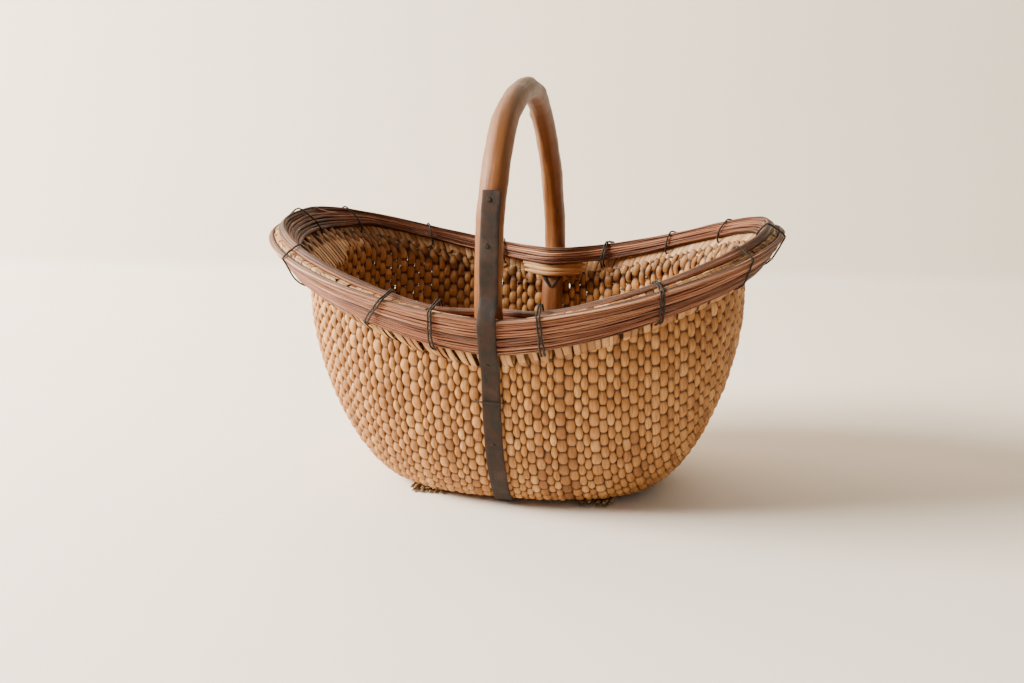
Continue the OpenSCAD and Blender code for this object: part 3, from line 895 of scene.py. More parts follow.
def willow_rods(sheet):
    """All rods, in several pieces from left to right."""
    random = np.random.default_rng(5)
    table = random.uniform(0, 1, (len(sheet), TONE_COUNT))
    for start in range(0, len(sheet), RODS_PER_PIECE):
        skin = Skin()
        for rod in range(start, min(start + RODS_PER_PIECE, len(sheet))):
            data = sheet[rod]
            rings, phase, turn, outer_bite, inner_bite, end = rod_rings(rod, data, random)
            kernel = np.floor(phase / 2).astype(int) % TONE_COUNT
            blend = phase / 2 - np.floor(phase / 2)
            edge = smooth_step(0.0, 0.12, blend)
            before = table[rod][(kernel - 1) % TONE_COUNT]
            tone = before + (table[rod][kernel] - before) * edge
            rod_tone = random.uniform(-0.16, 0.16)
            tone = 0.34 + 0.38 * tone + rod_tone
            # Painted shade: rods darken where the cords bite in, along their sides, on their inner
            # face and under the splints.
            sides = np.abs(np.cos(turn))[None] ** 4
            up = np.sin(turn)[None] > 0
            bite_shade = np.where(up, outer_bite[:, None], inner_bite[:, None])
            dirt_wear_and_shade = np.clip(0.95 * bite_shade ** 1.1 + 0.75 * sides, 0, 1)
            inside = 0.16 * (~up)
            shade = 1 - smooth_step(SPLINT_COVER, SPLINT_COVER + 7, end)
            dirt_wear_and_shade = np.clip(dirt_wear_and_shade + inside + 0.35 * shade[:, None], 0, 1)
            around = turn * data["width"] / 2
            grain = grain_of(data["distance"][:, None] + 700.0 * rod, around[None], 37.0 * rod)
            skin.add(rings, tone[:, None], dirt_wear_and_shade, grain)
        name = f"willow_rods_{start // RODS_PER_PIECE + 1}"
        skin.build(name, WILLOW, "woven_willow", "willow_shell")


def cord_crossings(data):
    """Where cords cross a rod: places, outward directions, and whether each is on the outside."""
    phase = data["phase"]
    whole = np.arange(math.ceil(phase[0]), math.floor(phase[-1]) + 1)
    distance = np.interp(whole, phase, data["distance"])
    keep = np.abs(distance) < data["distance"][-1] - SPLINT_COVER + 2
    whole, distance = whole[keep], distance[keep]
    point = between(distance, data["distance"], data["course"])
    normal = between(distance, data["distance"], data["normal"])
    return point - (WALL_THICKNESS / 2) * normal, normal, whole % 2 == 0


def hemp_cords(sheet):
    """Cords that run lengthwise, over one rod and under the next."""
    random = np.random.default_rng(8)
    open_cords = []
    closed_cords = []
    for data in sheet:
        point, normal, outer = cord_crossings(data)
        free = np.ones(len(point), bool)
        going_on = []
        for cord in open_cords:
            last, last_outer = cord[-1][0], cord[-1][2]
            away = np.linalg.norm(point - last, axis=1) + 99 * (~free | (outer == last_outer))
            best = int(np.argmin(away)) if len(away) else -1
            if best < 0 or away[best] > 1.45 * data["width"] + 2:
                closed_cords.append(cord)
                continue
            free[best] = False
            cord.append((point[best], normal[best], outer[best]))
            going_on.append(cord)
        for index in np.flatnonzero(free):
            going_on.append([(point[index], normal[index], outer[index])])
        open_cords = going_on
    cords = [cord for cord in closed_cords + open_cords if len(cord) >= FEWEST_CROSSINGS]
    skins = [Skin() for _ in range(3)]
    for index, cord in enumerate(cords):
        points = np.array([place + direction * (CORD_LIFT if outer else -CORD_LIFT)
                           for place, direction, outer in cord])
        path = resample(points, CORD_STEP)
        rings = tube(path, CORD_RADIUS, np.array([0.0, 0.3, 1.0]), sides=6)
        skins[index * 3 // len(cords)].add(rings, 0.5 + 0.4 * random.uniform(-1, 1))
    for index, skin in enumerate(skins):
        skin.build(f"hemp_cords_{index + 1}", CORD, "woven_willow")


# ---------------------------------------------------------------------------
# Splints over the edge of the wall
# ---------------------------------------------------------------------------

SPLINT_PITCH = 7.2
SPLINT_WIDTH = 8.3
SPLINT_THICK = 1.0
SPLINT_FOOT = 5.5
SPLINT_STEP = 4.0
SPLINT_LEAN = 0.42
FOOT_KICK = 4.2

# How far splints hang down inside, and how much further at the ends, where the rods stop short
INSIDE_DROP = 41
INSIDE_END_DROP = 14
INSIDE_POLE_DROP = 20
OUTSIDE_POLE_DROP = 13


def splint_drop_inside(t):
    """The splints come further down inside the flaring ends."""
    ends = np.abs(np.cos(t))
    return (INSIDE_DROP + INSIDE_END_DROP * smooth_step(0.72, 0.97, ends)
            + INSIDE_POLE_DROP * smooth_step(0.95, 0.995, ends))


def edge_splints():
    """Willow splints wound over the top edge, one beside the other."""
    random = np.random.default_rng(21)
    skin = Skin()
    count = int(RIM_AROUND / SPLINT_PITCH)
    pitch = RIM_AROUND / count
    for index in range(count):
        middle = index * pitch + random.uniform(-0.7, 0.7)
        width = SPLINT_WIDTH * random.uniform(0.82, 1.06)
        t0 = float(rim_angle(middle))
        drop_in = float(splint_drop_inside(t0)) + random.uniform(-2, 2)
        drop_out = SPLINT_DROP + SPLINT_FOOT + random.uniform(-1.2, 1.5)
        drop_out += OUTSIDE_POLE_DROP * float(smooth_step(0.965, 0.997, abs(math.cos(t0))))
        lean = SPLINT_LEAN + 0.12 * random.uniform(-1, 1)
        out_down = np.array([drop_out + 1.5, drop_out - 1.5, drop_out - 8, 26, 12, 3])
        in_down = np.array([3, 12, 22, drop_in - 8, drop_in - 2, drop_in + 1])
        raised = SPLINT_THICK * 0.6 + random.uniform(-0.15, 0.25)
        out_by = wall_outside(np.full(6, t0), -out_down) + raised
        out_by = out_by + FOOT_KICK * smooth_step(22, 37, out_down)
        out_by[0] -= 3.4
        out_by[1] -= 0.5
        in_by = wall_inside(np.full(6, t0), -in_down) - raised
        in_by[-1] += 2.4
        in_by[-2] += 0.3
        out_by = np.concatenate([out_by, [1.8, 0, -1.8], in_by])
        sunk = 1.6 + 1.6 * (abs(math.cos(t0)) < 0.55) + random.uniform(0, 1.2)
        up_by = np.concatenate([-out_down, np.array([0.6, 1.3, 0.6]) - sunk, -in_down])
        slide = np.concatenate([lean * out_down, [0, 0, 0], 0.12 * in_down])
        track = resample(np.stack([out_by, up_by, slide], -1), SPLINT_STEP)
        across = np.array([-0.5, -0.32, 0, 0.32, 0.5]) * width
        crown = np.array([0.0, 0.32, 0.45, 0.32, 0.0])
        shingle = 0.45 * across / width * 2
        distance = middle + track[:, 2][:, None] + across[None]
        t = rim_angle(distance)
        sign = np.sign(track[:, 0])[:, None]
        face = track[:, 0][:, None] + sign * (crown[None] + shingle[None])
        back = track[:, 0][:, None] - sign * SPLINT_THICK * 0.5 + 0 * across[None]
        top = at_rim(t, face, track[:, 1][:, None] + 0 * across[None])
        under = at_rim(t, back, track[:, 1][:, None] + 0 * across[None])
        rings = np.concatenate([top, under[:, ::-1]], 1)
        tone = 0.5 + 0.35 * random.uniform(-1, 1) - 0.3 * (track[:, :1] > 0)
        # Painted shade: on the splint's side edges and back face, and a shadow line at its foot
        # outside and inside.
        rim = np.array([0.5, 0.1, 0, 0.1, 0.5, 0.8, 0.8, 0.8, 0.8, 0.8])
        foot = np.exp(-(track[:, 1] + drop_out) ** 2 / 5) * (track[:, 0] > 0)
        inner_foot_shadow = np.exp(-(track[:, 1] + drop_in) ** 2 / 6) * (track[:, 0] < 0)
        dirt_wear_and_shade = np.clip(rim[None] + (0.5 * foot + 0.5 * inner_foot_shadow)[:, None], 0, 1)
        length = np.arange(len(track)) * SPLINT_STEP
        both_faces = np.concatenate([across, across[::-1]])[None]
        grain = grain_of(length[:, None] + 90.0 * index, both_faces, 13.0 * index)
        skin.add(rings, tone, dirt_wear_and_shade, grain)
    skin.build("wound_splints", SPLINT, "willow_splint", "edge_splints")


# ---------------------------------------------------------------------------
# Reed bundles
# ---------------------------------------------------------------------------

def leg_bulge(t):
    """How far the inner bundle steps inwards to clear the legs."""
    x = rim_point(t)[..., 0]
    return LEG_BULGE * np.exp(-(x / LEG_BULGE_REACH) ** 2)


def leg_drop(t):
    """The inner bundle dips a little where it rounds the front leg."""
    x = rim_point(t)[..., 0]
    return 9.0 * np.exp(-(x / 75) ** 2) * (np.sin(t) < 0)


def reed_rings(side, top, height, near, far, seed):
    """One split reed all round the rim; top and height are functions of the angle."""
    stations = int(RIM_AROUND / REED_STEP)
    distance = np.linspace(0, RIM_AROUND, stations, endpoint=False)
    t = rim_angle(distance)
    drift = ring_wander(distance, seed, RIM_AROUND, 7)
    puff = ring_wander(distance, seed + 1, RIM_AROUND, 11)
    swell_by = 1 + 0.16 * ring_wander(distance, seed + 2, RIM_AROUND, 9)
    height = height(t) * swell_by
    middle_up = top(t) - height / 2 + 0.55 * drift
    thick = far - near
    middle_out = near + thick / 2 + 0.45 * puff
    turn = np.linspace(0, TAU, 12, endpoint=False)
    ridge = 1 + 0.05 * np.sin(turn * 5 + seed)
    wide = power(np.sin(turn), 0.7) * ridge
    deep = power(np.cos(turn), 0.75) * ridge
    out_by = middle_out[:, None] + 0.5 * thick * deep[None]
    up_by = middle_up[:, None] + 0.5 * height[:, None] * wide[None]
    shift = leg_bulge(t)[:, None] if side < 0 else 0
    drop = leg_drop(t)[:, None] if side < 0 else 0
    rings = at_rim(t[:, None] + 0 * turn[None], side * (out_by + shift), up_by - drop)
    return rings, distance, turn


def reed_bundle(side, layers, seed, height_of):
    """Stacks reeds of uneven height; each layer is (reeds, near, far, tone); a low tone on a back
    layer is painted shade behind the front reeds.
    """
    random = np.random.default_rng(seed)
    skin = Skin()
    for layer, (count, near, far, layer_tone_and_shade) in enumerate(layers):
        weights = random.uniform(0.55, 1.5, count)
        edges = np.concatenate([[0], np.cumsum(weights)]) / weights.sum()
        for index in range(count):
            low_share, high_share = edges[index], edges[index + 1]
            own_far = far + random.uniform(-0.9, 0.5)
            squeeze = 0.86 if layer else 0.93

            def top(t, share=low_share):
                return 0.4 - share * height_of(t)

            def height(t, share=high_share - low_share, squeeze=squeeze):
                return squeeze * share * height_of(t) + 0.25

            rings, distance, turn = reed_rings(side, top, height, near, own_far,
                                               seed * 50 + layer * 20 + index)
            # The reeds darken towards both ends of the basket.
            darker_end = smooth_step(0.9, 0.99, np.abs(np.cos(rim_angle(distance))))[:, None]
            tone = (layer_tone_and_shade - 0.4 * darker_end + 0.34 * random.uniform(-1, 1)
                    + 0.12 * ring_wander(distance, seed + index, RIM_AROUND, 5)[:, None])
            # Painted shade along each reed's upper and lower edge, where it meets its neighbours.
            gap_shade = np.abs(np.sin(turn))[None] ** 5
            grain = grain_of(distance[:, None], turn[None] * 2.2 + 40.0 * index,
                             300.0 * layer + 11.0 * seed)
            skin.add(rings, tone, gap_shade, grain, looped=True)
    return skin


def rear_slats():
    """Splinters of willow laid across the rear leg, just under the inner bundle."""
    random = np.random.default_rng(61)
    skin = Skin()
    for index in range(3):
        half = random.uniform(27, 36)
        along = np.arange(-half, half, 3.0)
        t = math.pi / 2 - (along + random.uniform(-3, 3)) / RIM_LEFT
        tilt = random.uniform(-0.05, 0.05) * along
        down = INNER_HEIGHT + 2.0 + 4.4 * index + tilt
        path = at_rim(t, -(BUNDLE_START + 2.5 + leg_bulge(t) + 0.4 * (index % 2)), -down)
        end = np.minimum(along - along[0], along[-1] - along)
        radius = 2.7 * (0.5 + 0.5 * smooth_step(0, 9, end))
        rings = tube(path, radius, np.array([0.0, 1.0, 0.0]), sides=8, flat=0.5)
        grain = grain_of(along[:, None], np.linspace(0, 9, 8)[None], 47.0 * index)
        skin.add(rings, 0.2 + 0.2 * random.uniform(-1, 1), 0.2 + 0 * along[:, None], grain)
    skin.build("rear_slats", SPLINT, "willow_splint")


def outer_height(t):
    """Height of the outer bundle."""
    return OUTER_HEIGHT + 0 * t


def inner_height(t):
    """The inner bundle spreads into a flat band at the left end."""
    left = smooth_step(0.78, 0.98, -np.cos(t))
    return INNER_HEIGHT + 11 * left


def stray_reed(skin, side, angle, span, up_from, up_to, out_from, out_to, height, seed):
    """A loose reed that works free of its bundle towards its tip."""
    start = rim_distance(angle)
    stations = int(abs(span) / 3)
    share = np.linspace(0, 1, stations)
    distance = start + span * share
    t = rim_angle(distance)
    bend = share ** 2.2
    up = up_from + (up_to - up_from) * bend
    out = out_from + (out_to - out_from) * bend
    tall = height * (1 - 0.55 * share ** 3)
    turn = np.linspace(0, TAU, 8, endpoint=False)
    out_by = out[:, None] + 0.8 * np.cos(turn)[None]
    up_by = up[:, None] + 0.5 * tall[:, None] * np.sin(turn)[None]
    rings = at_rim(t[:, None] + 0 * turn[None], side * out_by, up_by)
    grain = grain_of(distance[:, None], turn[None] * 2, 5.0 * seed)
    skin.add(rings, 0.55, 0.1, grain)


def rim_bundles():
    """The outer and inner bundles with their stray reeds."""
    # The back layer of each bundle gets a low tone: painted shade showing through the gaps.
    outer = reed_bundle(1, [(6, BUNDLE_START, BUNDLE_START + 3.2, 0.10),
                            (14, BUNDLE_START + 1.8, BUNDLE_START + OUTER_THICK, 0.48)],
                        3, outer_height)
    stray_reed(outer, 1, math.radians(192), -46, -6, 2, 8.6, 12.5, 3.2, 4)
    stray_reed(outer, 1, math.radians(348), 30, -22, -24, 9.0, 13.0, 3.0, 6)
    outer.build("outer_reed_bundle", REED, "rim_reed", *[f"outer_reed_{i}" for i in range(1, 7)])
    inner = reed_bundle(-1, [(4, BUNDLE_START, BUNDLE_START + 4.4, 0.15),
                             (8, BUNDLE_START + 3.0, BUNDLE_START + INNER_THICK, 0.46)],
                        7, inner_height)
    stray_reed(inner, -1, math.radians(158), 34, -8, -2, 10.5, 14.0, 3.2, 9)
    inner.build("inner_reed_bundle", REED, "rim_reed", *[f"inner_reed_{i}" for i in range(1, 4)])


# ---------------------------------------------------------------------------
# Handle
# ---------------------------------------------------------------------------

HANDLE_HALF_SPAN = 157.0
ARCH_START = 240.0
ARCH_RISE = 177.0
FRONT_SHOULDER = 2.35
REAR_SHOULDER = 1.65
FRONT_RADIUS = 13.5
REAR_RADIUS = 11.8
FRONT_LEAN = 4.0
LEG_FOOT = cad_box("handle")[0][2] + 1.0
LEG_FOOT_HALF = 7.0
HANDLE_STEP = 2.0
MEAN_RADIUS = 12.5

# Knots and one hollow: (place along the handle, angle round it, spread round it, rise, reach)
KNOTS = (
    (0.545, 1.1, 5.0, 1.9, 11.0),
    (0.60, -1.9, 3.6, 1.3, 6.0),
    (0.70, -0.5, 3.0, 1.1, 5.0),
    (0.765, 2.6, 2.4, 1.0, 4.5),
    (0.36, 2.0, 2.6, 0.9, 7.0),
    (0.30, -2.2, 2.4, 0.8, 5.0),
    (0.47, 0.2, 4.4, -1.6, 10.0),
)


def clear_half_width(z):
    """Half width of the inside of the wall beside the handle."""
    lower = wall_half_sizes(z - WALL_THICKNESS)[1] - WALL_THICKNESS
    share = (z - WEAVE_TOP[0]) / (RIM_TOP[0] - WEAVE_TOP[0])
    upper = (WALL_HALF_WIDTH - WALL_THICKNESS
             + share * (RIM_HALF_WIDTH - EDGE_HALF - WALL_HALF_WIDTH + WALL_THICKNESS))
    return np.where(z < WEAVE_TOP[0], lower, upper)


def leg_half_thickness(z, radius):
    """Half thickness of a leg, whittled thinner towards its foot."""
    share = np.clip((z - LEG_FOOT) / (ARCH_START - LEG_FOOT), 0, 1)
    return LEG_FOOT_HALF + (radius - LEG_FOOT_HALF) * share ** 1.2


def leg_y(z, radius):
    """Distance of a leg's centre line from the middle."""
    return np.minimum(HANDLE_HALF_SPAN, clear_half_width(z) - 1.7 - leg_half_thickness(z, radius))


def arch_point(angle, roundness):
    """Distance from the middle and height on the arch, from a leg at 0 to its top at 90 degrees."""
    return (HANDLE_HALF_SPAN * power(np.cos(angle), 2 / roundness),
            ARCH_START + ARCH_RISE * power(np.sin(angle), 2 / roundness))


def handle_course():
    """Centre line of the branch from the front foot to the rear foot."""
    z = np.linspace(LEG_FOOT, ARCH_START, 24, endpoint=False)
    front_leg = np.stack([-FRONT_LEAN + 0 * z, -leg_y(z, FRONT_RADIUS), z], -1)
    angle = np.linspace(0, math.pi / 2, 40)
    y, height = arch_point(angle, FRONT_SHOULDER)
    front_arch = np.stack([-FRONT_LEAN * (1 - angle * 2 / math.pi), -y, height], -1)
    angle = angle[-2::-1]
    y, height = arch_point(angle, REAR_SHOULDER)
    rear_arch = np.stack([0 * y, y, height], -1)
    z = z[::-1]
    rear_leg = np.stack([0 * z, leg_y(z, REAR_RADIUS), z], -1)
    course = np.concatenate([front_leg, front_arch, rear_arch, rear_leg])
    course = resample(course, HANDLE_STEP)
    for _ in range(14):
        course[1:-1] = (course[:-2] + 2 * course[1:-1] + course[2:]) / 4
    return course


def branch_handle():
    """The bent branch: lobed, knotty, worn grey at the top."""
    course = handle_course()
    stations = len(course)
    distance = np.arange(stations) * HANDLE_STEP
    total = distance[-1]
    share = distance / total
    z = course[:, 2]
    front = 1 - smooth_step(0.35, 0.62, share)
    radius = REAR_RADIUS + (FRONT_RADIUS - REAR_RADIUS) * front
    top = np.exp(-((share - 0.5) / 0.09) ** 2)
    radius = radius * (1 - 0.07 * top)
    along = unit(np.gradient(course, axis=0))
    across = np.array([1.0, 0, 0])
    outward = unit(np.cross(along, across))
    outward *= np.sign((outward * (course - [0, 0, 200])).sum(-1, keepdims=True))
    leg = z < ARCH_START
    thick = np.where(leg, np.minimum(leg_half_thickness(z, radius), radius), radius)
    turn = np.linspace(0, TAU, 36, endpoint=False)
    crook = np.stack([0.9 * wander(distance, 31, 210), 0 * distance, 0 * distance], -1)
    fade = smooth_step(0.0, 0.2, share) * (1 - smooth_step(0.8, 1.0, share))
    centre = course + crook * fade[:, None]
    lobes = (0.35 * np.sin(3 * turn[None] + distance[:, None] / 55)
             + 0.22 * np.sin(7 * turn[None] - distance[:, None] / 34)
             + 0.14 * np.sin(13 * turn[None] + distance[:, None] / 21))
    ripple = 0.28 * wander(distance, 44, 48)[:, None] + lobes
    dirt_knots = 0
    for place, angle, spread, rise, reach in KNOTS:
        around = np.abs((turn[None] - angle + math.pi) % TAU - math.pi) * MEAN_RADIUS
        spot = np.exp(-((distance[:, None] - place * total) / reach) ** 2 - (around / spread) ** 2)
        ripple = ripple + rise * spot
        dirt_knots = dirt_knots + (spot > 0.45) * 0.75 * spot
    wide = radius[:, None] + ripple
    deep = thick[:, None] + ripple * np.minimum(1, thick / radius)[:, None]
    rings = (centre[:, None]
             + (deep * np.cos(turn)[None])[..., None] * outward[:, None]
             + (wide * np.sin(turn)[None])[..., None] * across)
    tone = front[:, None] * (0.72 + 0.14 * np.cos(turn)[None]) + (1 - front[:, None]) * 0.18
    worn = np.exp(-((share - 0.50) / 0.10) ** 2)[:, None] * (0.50 + 0.25 * np.cos(turn)[None])
    foot = 0.5 * (1 - smooth_step(0, 60, z - LEG_FOOT))[:, None]
    dirt_wear_and_shade = np.clip(worn + foot + dirt_knots, 0, 0.9)
    grain = grain_of(distance[:, None], MEAN_RADIUS * np.cos(turn)[None],
                     MEAN_RADIUS * np.sin(turn)[None])
    skin = Skin()
    skin.add(rings, tone, dirt_wear_and_shade, grain)
    skin.build("branch_handle", BRANCH, "branch_wood", "handle")


# ---------------------------------------------------------------------------
# Iron strap, nails and wires
# ---------------------------------------------------------------------------

STRAP_WIDTH = 19.0
STRAP_THICK = 2.0
STRAP_X = (strap_low[0] + strap_high[0]) / 2
STRAP_STEP = 2.5
WIRE_RADIUS = 0.92
WIRE_STEP = 1.6
WIRE_BELOW = 7
STRAP_WIRE_HEIGHT = 130.0


def strap_side(roundness, radius):
    """Inner line of the strap from its end on the leg to the middle of the base, as (y, z)."""
    angle = np.radians([27, 24, 21, 18, 15, 12, 9, 6, 3])
    y, z = arch_point(angle, roundness)
    step_y, step_z = arch_point(angle + 0.01, roundness)
    back_y, back_z = arch_point(angle - 0.01, roundness)
    out = unit(np.stack([step_z - back_z, -(step_y - back_y)], -1))
    arch = np.stack([y, z], -1) + (radius + 0.3) * out
    bundle = at_rim(np.full(3, REAR), np.full(3, BUNDLE_START + OUTER_THICK + 0.5),
                    np.array([-2.0, -18.0, -OUTER_HEIGHT]))[:, 1:]
    heights = BASE_Z + 1 + (WEAVE_TOP[0] - 19 - BASE_Z) * np.linspace(1, 0, 15) ** 1.5
    wall = np.stack([wall_half_sizes(heights)[1] + 0.9, heights], -1)
    under = np.array([[BASE_HALF_WIDTH, BASE_Z - 0.4], [60.0, BASE_Z - 0.5],
                      [30.0, BASE_Z - 0.5], [0.0, BASE_Z - 0.5]])
    leg = np.array([[HANDLE_HALF_SPAN + radius + 0.4, ARCH_START - 3]])
    return np.concatenate([arch, leg, bundle, wall, under])


def iron_strap():
    """The strap from leg to leg under the base, with worn edges and dents."""
    rear = strap_side(REAR_SHOULDER, REAR_RADIUS)
    front = strap_side(FRONT_SHOULDER, FRONT_RADIUS)
    front = np.stack([-front[:, 0], front[:, 1]], -1)
    line = np.concatenate([front, rear[-2::-1]])
    path = np.stack([np.full(len(line), STRAP_X), line[:, 0], line[:, 1]], -1)
    path = resample(path, STRAP_STEP)
    for _ in range(2):
        path[1:-1] = (path[:-2] + 2 * path[1:-1] + path[2:]) / 4
    along = unit(np.gradient(path, axis=0))
    across = np.array([1.0, 0, 0])
    outward = unit(np.cross(across, along))
    if outward[len(path) // 2][2] > 0:
        outward = -outward
    high = smooth_step(60, 185, path[:, 2]) * (path[:, 1] < 0)
    path[:, 0] += 2.0 * high
    distance = np.arange(len(path)) * STRAP_STEP
    half = STRAP_WIDTH / 2 - 0.2 + 0.22 * wander(distance, 71, 60)[:, None]
    side = np.array([-1, -0.97, -0.9, -0.6, -0.2, 0.2, 0.6, 0.9, 0.97, 1,
                     1, 0.97, 0.9, 0.5, -0.5, -0.9, -0.97, -1])
    face = np.array([0.5, 0.85, 1, 1, 1, 1, 1, 1, 0.85, 0.5,
                     0.4, 0.12, 0, 0, 0, 0, 0.12, 0.4]) * STRAP_THICK
    dent = 0.12 * wander(distance, 77, 35)[:, None]
    rings = (path[:, None]
             + (half * side[None])[..., None] * across
             + ((face[None] + dent * (face > 0.9)[None]))[..., None] * outward[:, None])
    worn = np.where(np.abs(side) > 0.93, 0.55, 0.0)[None]
    worn = worn * (0.6 + 0.4 * np.sin(distance / 9))[:, None]
    grain = grain_of(distance[:, None], (half * side[None]), face[None] + 0 * half)
    skin = Skin()
    skin.add(rings, 0.5, worn, grain)
    skin.build("worn_strap", IRON, "strap_iron", "iron_strap")


def tie_section(t, inner_bulge):
    """Corners of a wire's turn round the two bundles and through the wall: (out, up)."""
    out = BUNDLE_START + OUTER_THICK + 1.1
    inn = BUNDLE_START + INNER_THICK + 1.1 + inner_bulge
    low_out = -OUTER_HEIGHT - WIRE_BELOW
    low_in = -float(inner_height(np.array(t))) - WIRE_BELOW
    return np.array([
        [out, -2], [out - 0.8, 1.6], [out - 3.4, 2.6], [2, 3.0], [-2, 3.0],
        [3.4 - inn, 2.6], [0.9 - inn, 1.4], [-inn, -2], [-inn, low_in + 9],
        [-inn * 0.75, low_in + 3], [-inn * 0.45, low_in], [0, (low_in + low_out) / 2],
        [BUNDLE_START - 1.2, low_out - 1], [out - 3.2, low_out + 2.5], [out, low_out + 8]])


def wire_turn(skin, angle, lean, shift, seed):
    """One closed turn of wire; lean carries its lower end along the rim, in millimetres."""
    start = rim_distance(math.radians(angle)) + shift
    t = float(rim_angle(start))
    section = tie_section(t, float(leg_bulge(np.array(t))))
    loop = np.concatenate([section, section[:1]])
    slide = lean * loop[:, 1:] / (-OUTER_HEIGHT - WIRE_BELOW)
    track = resample(np.concatenate([loop, slide], 1), WIRE_STEP)[:-1]
    wave = wander(np.arange(len(track)) * WIRE_STEP, seed, 26)
    distance = start + track[:, 2] + 0.5 * wave
    points = at_rim(rim_angle(distance), track[:, 0] + 0.25 * wave, track[:, 1])
    after, before = (at_rim(np.array([t + step]), 0, 0)[0] for step in (ANGLE_STEP, -ANGLE_STEP))
    rings = tube(points, WIRE_RADIUS, unit(after - before), sides=8, looped=True)
    skin.add(rings, 0.5, 0.2, looped=True)
    return points


def twisted_end(skin, angle, lean, seed, length=9.0):
    """The two cut ends of a tie, twisted together and bent down against the wall."""
    random = np.random.default_rng(seed)
    start = rim_distance(math.radians(angle)) + lean
    share = np.linspace(0, 1, 26)
    swing = random.uniform(-5, 5)
    for strand in (0, math.pi):
        turn = share * TAU * 2.2 + strand
        distance = start + swing * share + 1.0 * np.cos(turn)
        face = wall_outside(rim_angle(distance), -OUTER_HEIGHT - 8 + 0 * share)
        out = face + 3.2 + 0.8 * np.sin(turn) - 1.5 * share
        up = -OUTER_HEIGHT - 5 - length * share
        points = at_rim(rim_angle(distance), out, up)
        skin.add(tube(points, 0.8, np.array([0.3, 0.2, 1.0]), sides=7), 0.5, 0.2)


# Place round the rim in degrees, how far the lower end is carried round, and the turns of wire
TIES = {
    "rim_tie_left_end": (177, -3, 1),
    "rim_tie_right_end": (357, 3, 1),
    "rim_tie_front_1": (217.5, -3, 1),
    "rim_tie_front_2": (250.5, -10, 2),
    "rim_tie_front_3": (261, -2, 2),
    "rim_tie_front_4": (278, 2, 2),
    "rim_tie_front_5": (304, 4, 2),
    "rim_tie_front_6": (332, 4, 1),
    "rim_tie_rear_1": (39, 0, 1),
    "rim_tie_rear_2": (61, -2, 1),
    "rim_tie_rear_3": (79, 0, 2),
    "rim_tie_rear_4": (101, 1, 2),
    "rim_tie_rear_5": (121, 3, 1),
    "rim_tie_rear_6": (151, -1, 1),
}


def carried(angle, lean):
    """Distance along the rim between a tie's upper and lower ends."""
    far = rim_distance(math.radians(angle + lean)) - rim_distance(math.radians(angle))
    return (far + RIM_AROUND / 2) % RIM_AROUND - RIM_AROUND / 2


def rim_ties():
    """All wire ties round the bundles."""
    for index, (node, (angle, lean, turns)) in enumerate(TIES.items()):
        skin = Skin()
        slide = carried(angle, lean)
        for turn in range(turns):
            wire_turn(skin, angle, slide + 1.5 * turn, 2.6 * turn - 1.3 * (turns - 1),
                      300 + 7 * index + turn)
        twisted_end(skin, angle, slide, 60 + index)
        skin.build(f"{node}_wire", WIRE, "binding_wire", node)


def lashing(name, node, side, radius, lean_x):
    """Two slanting turns that meet in a V across the leg, under the inner bundle."""
    skin = Skin()
    z = WEAVE_TOP[0] + 3
    leg_face = float(leg_y(np.array(z), radius) - leg_half_thickness(np.array(z), radius)) - 1.4
    wall_face = WALL_HALF_WIDTH + 2.4
    top = RIM_TOP[0] - INNER_HEIGHT
    for hand in (-1, 1):
        for strand in (0, 1):
            low = z - 3 - 1.9 * strand
            corners = np.array([
                [hand * 1.0, leg_face, low],
                [hand * 7.5, leg_face + 1.2, low + 8],
                [hand * (radius + 2.2), leg_face + 9, top - 3],
                [hand * (radius + 3.4), (leg_face + wall_face) / 2, top - 1],
                [hand * (radius + 3.0), wall_face - 3, top - 3],
                [hand * (radius + 2.0), wall_face, z + 4],
                [hand * 9, wall_face, low - 1],
                [hand * 4, wall_face - 3, low - 3],
                [hand * 1.6, (leg_face + wall_face) / 2, low - 3]])
            corners[:, 0] -= lean_x
            corners[:, 1] *= side
            loop = resample(np.concatenate([corners, corners[:1]]), WIRE_STEP)[:-1]
            rings = tube(loop, 0.85, np.array([0, -0.3 * side, 1.0]), sides=8, looped=True)
            skin.add(rings, 0.5, 0.2, looped=True)
    skin.build(name, WIRE, "binding_wire", node)


def strap_wire(name, node, side, radius):
    """A thin wire drawn tight across the strap, through the wall and round the leg."""
    skin = Skin()
    z = STRAP_WIRE_HEIGHT
    outer = float(wall_half_sizes(np.array(z))[1]) + 0.9 + STRAP_THICK + 0.9
    inner = float(leg_y(np.array(z), radius) - leg_half_thickness(np.array(z), radius)) - 1.2
    turn = np.linspace(0, TAU, 90, endpoint=False)
    half_depth = (outer - inner) / 2
    half_width = FRONT_RADIUS + 2.6
    path = np.stack([
        STRAP_X + half_width * power(np.cos(turn), 0.45),
        side * ((outer + inner) / 2 + half_depth * power(np.sin(turn), 0.45)),
        z + 0.7 * np.sin(2 * turn + 1) + 0.5 * np.cos(3 * turn)], -1)
    skin.add(tube(path, 0.8, np.array([0.0, 0, 1.0]), sides=8, looped=True), 0.5, 0.3, looped=True)
    skin.build(name, WIRE, "binding_wire", node)


# ---------------------------------------------------------------------------
# Runners
# ---------------------------------------------------------------------------

TWIGS = 11
TWIG_RADIUS = 2.1
TWIG_LAYER_RISE = 2.4
TURN_UP_FROM = 70


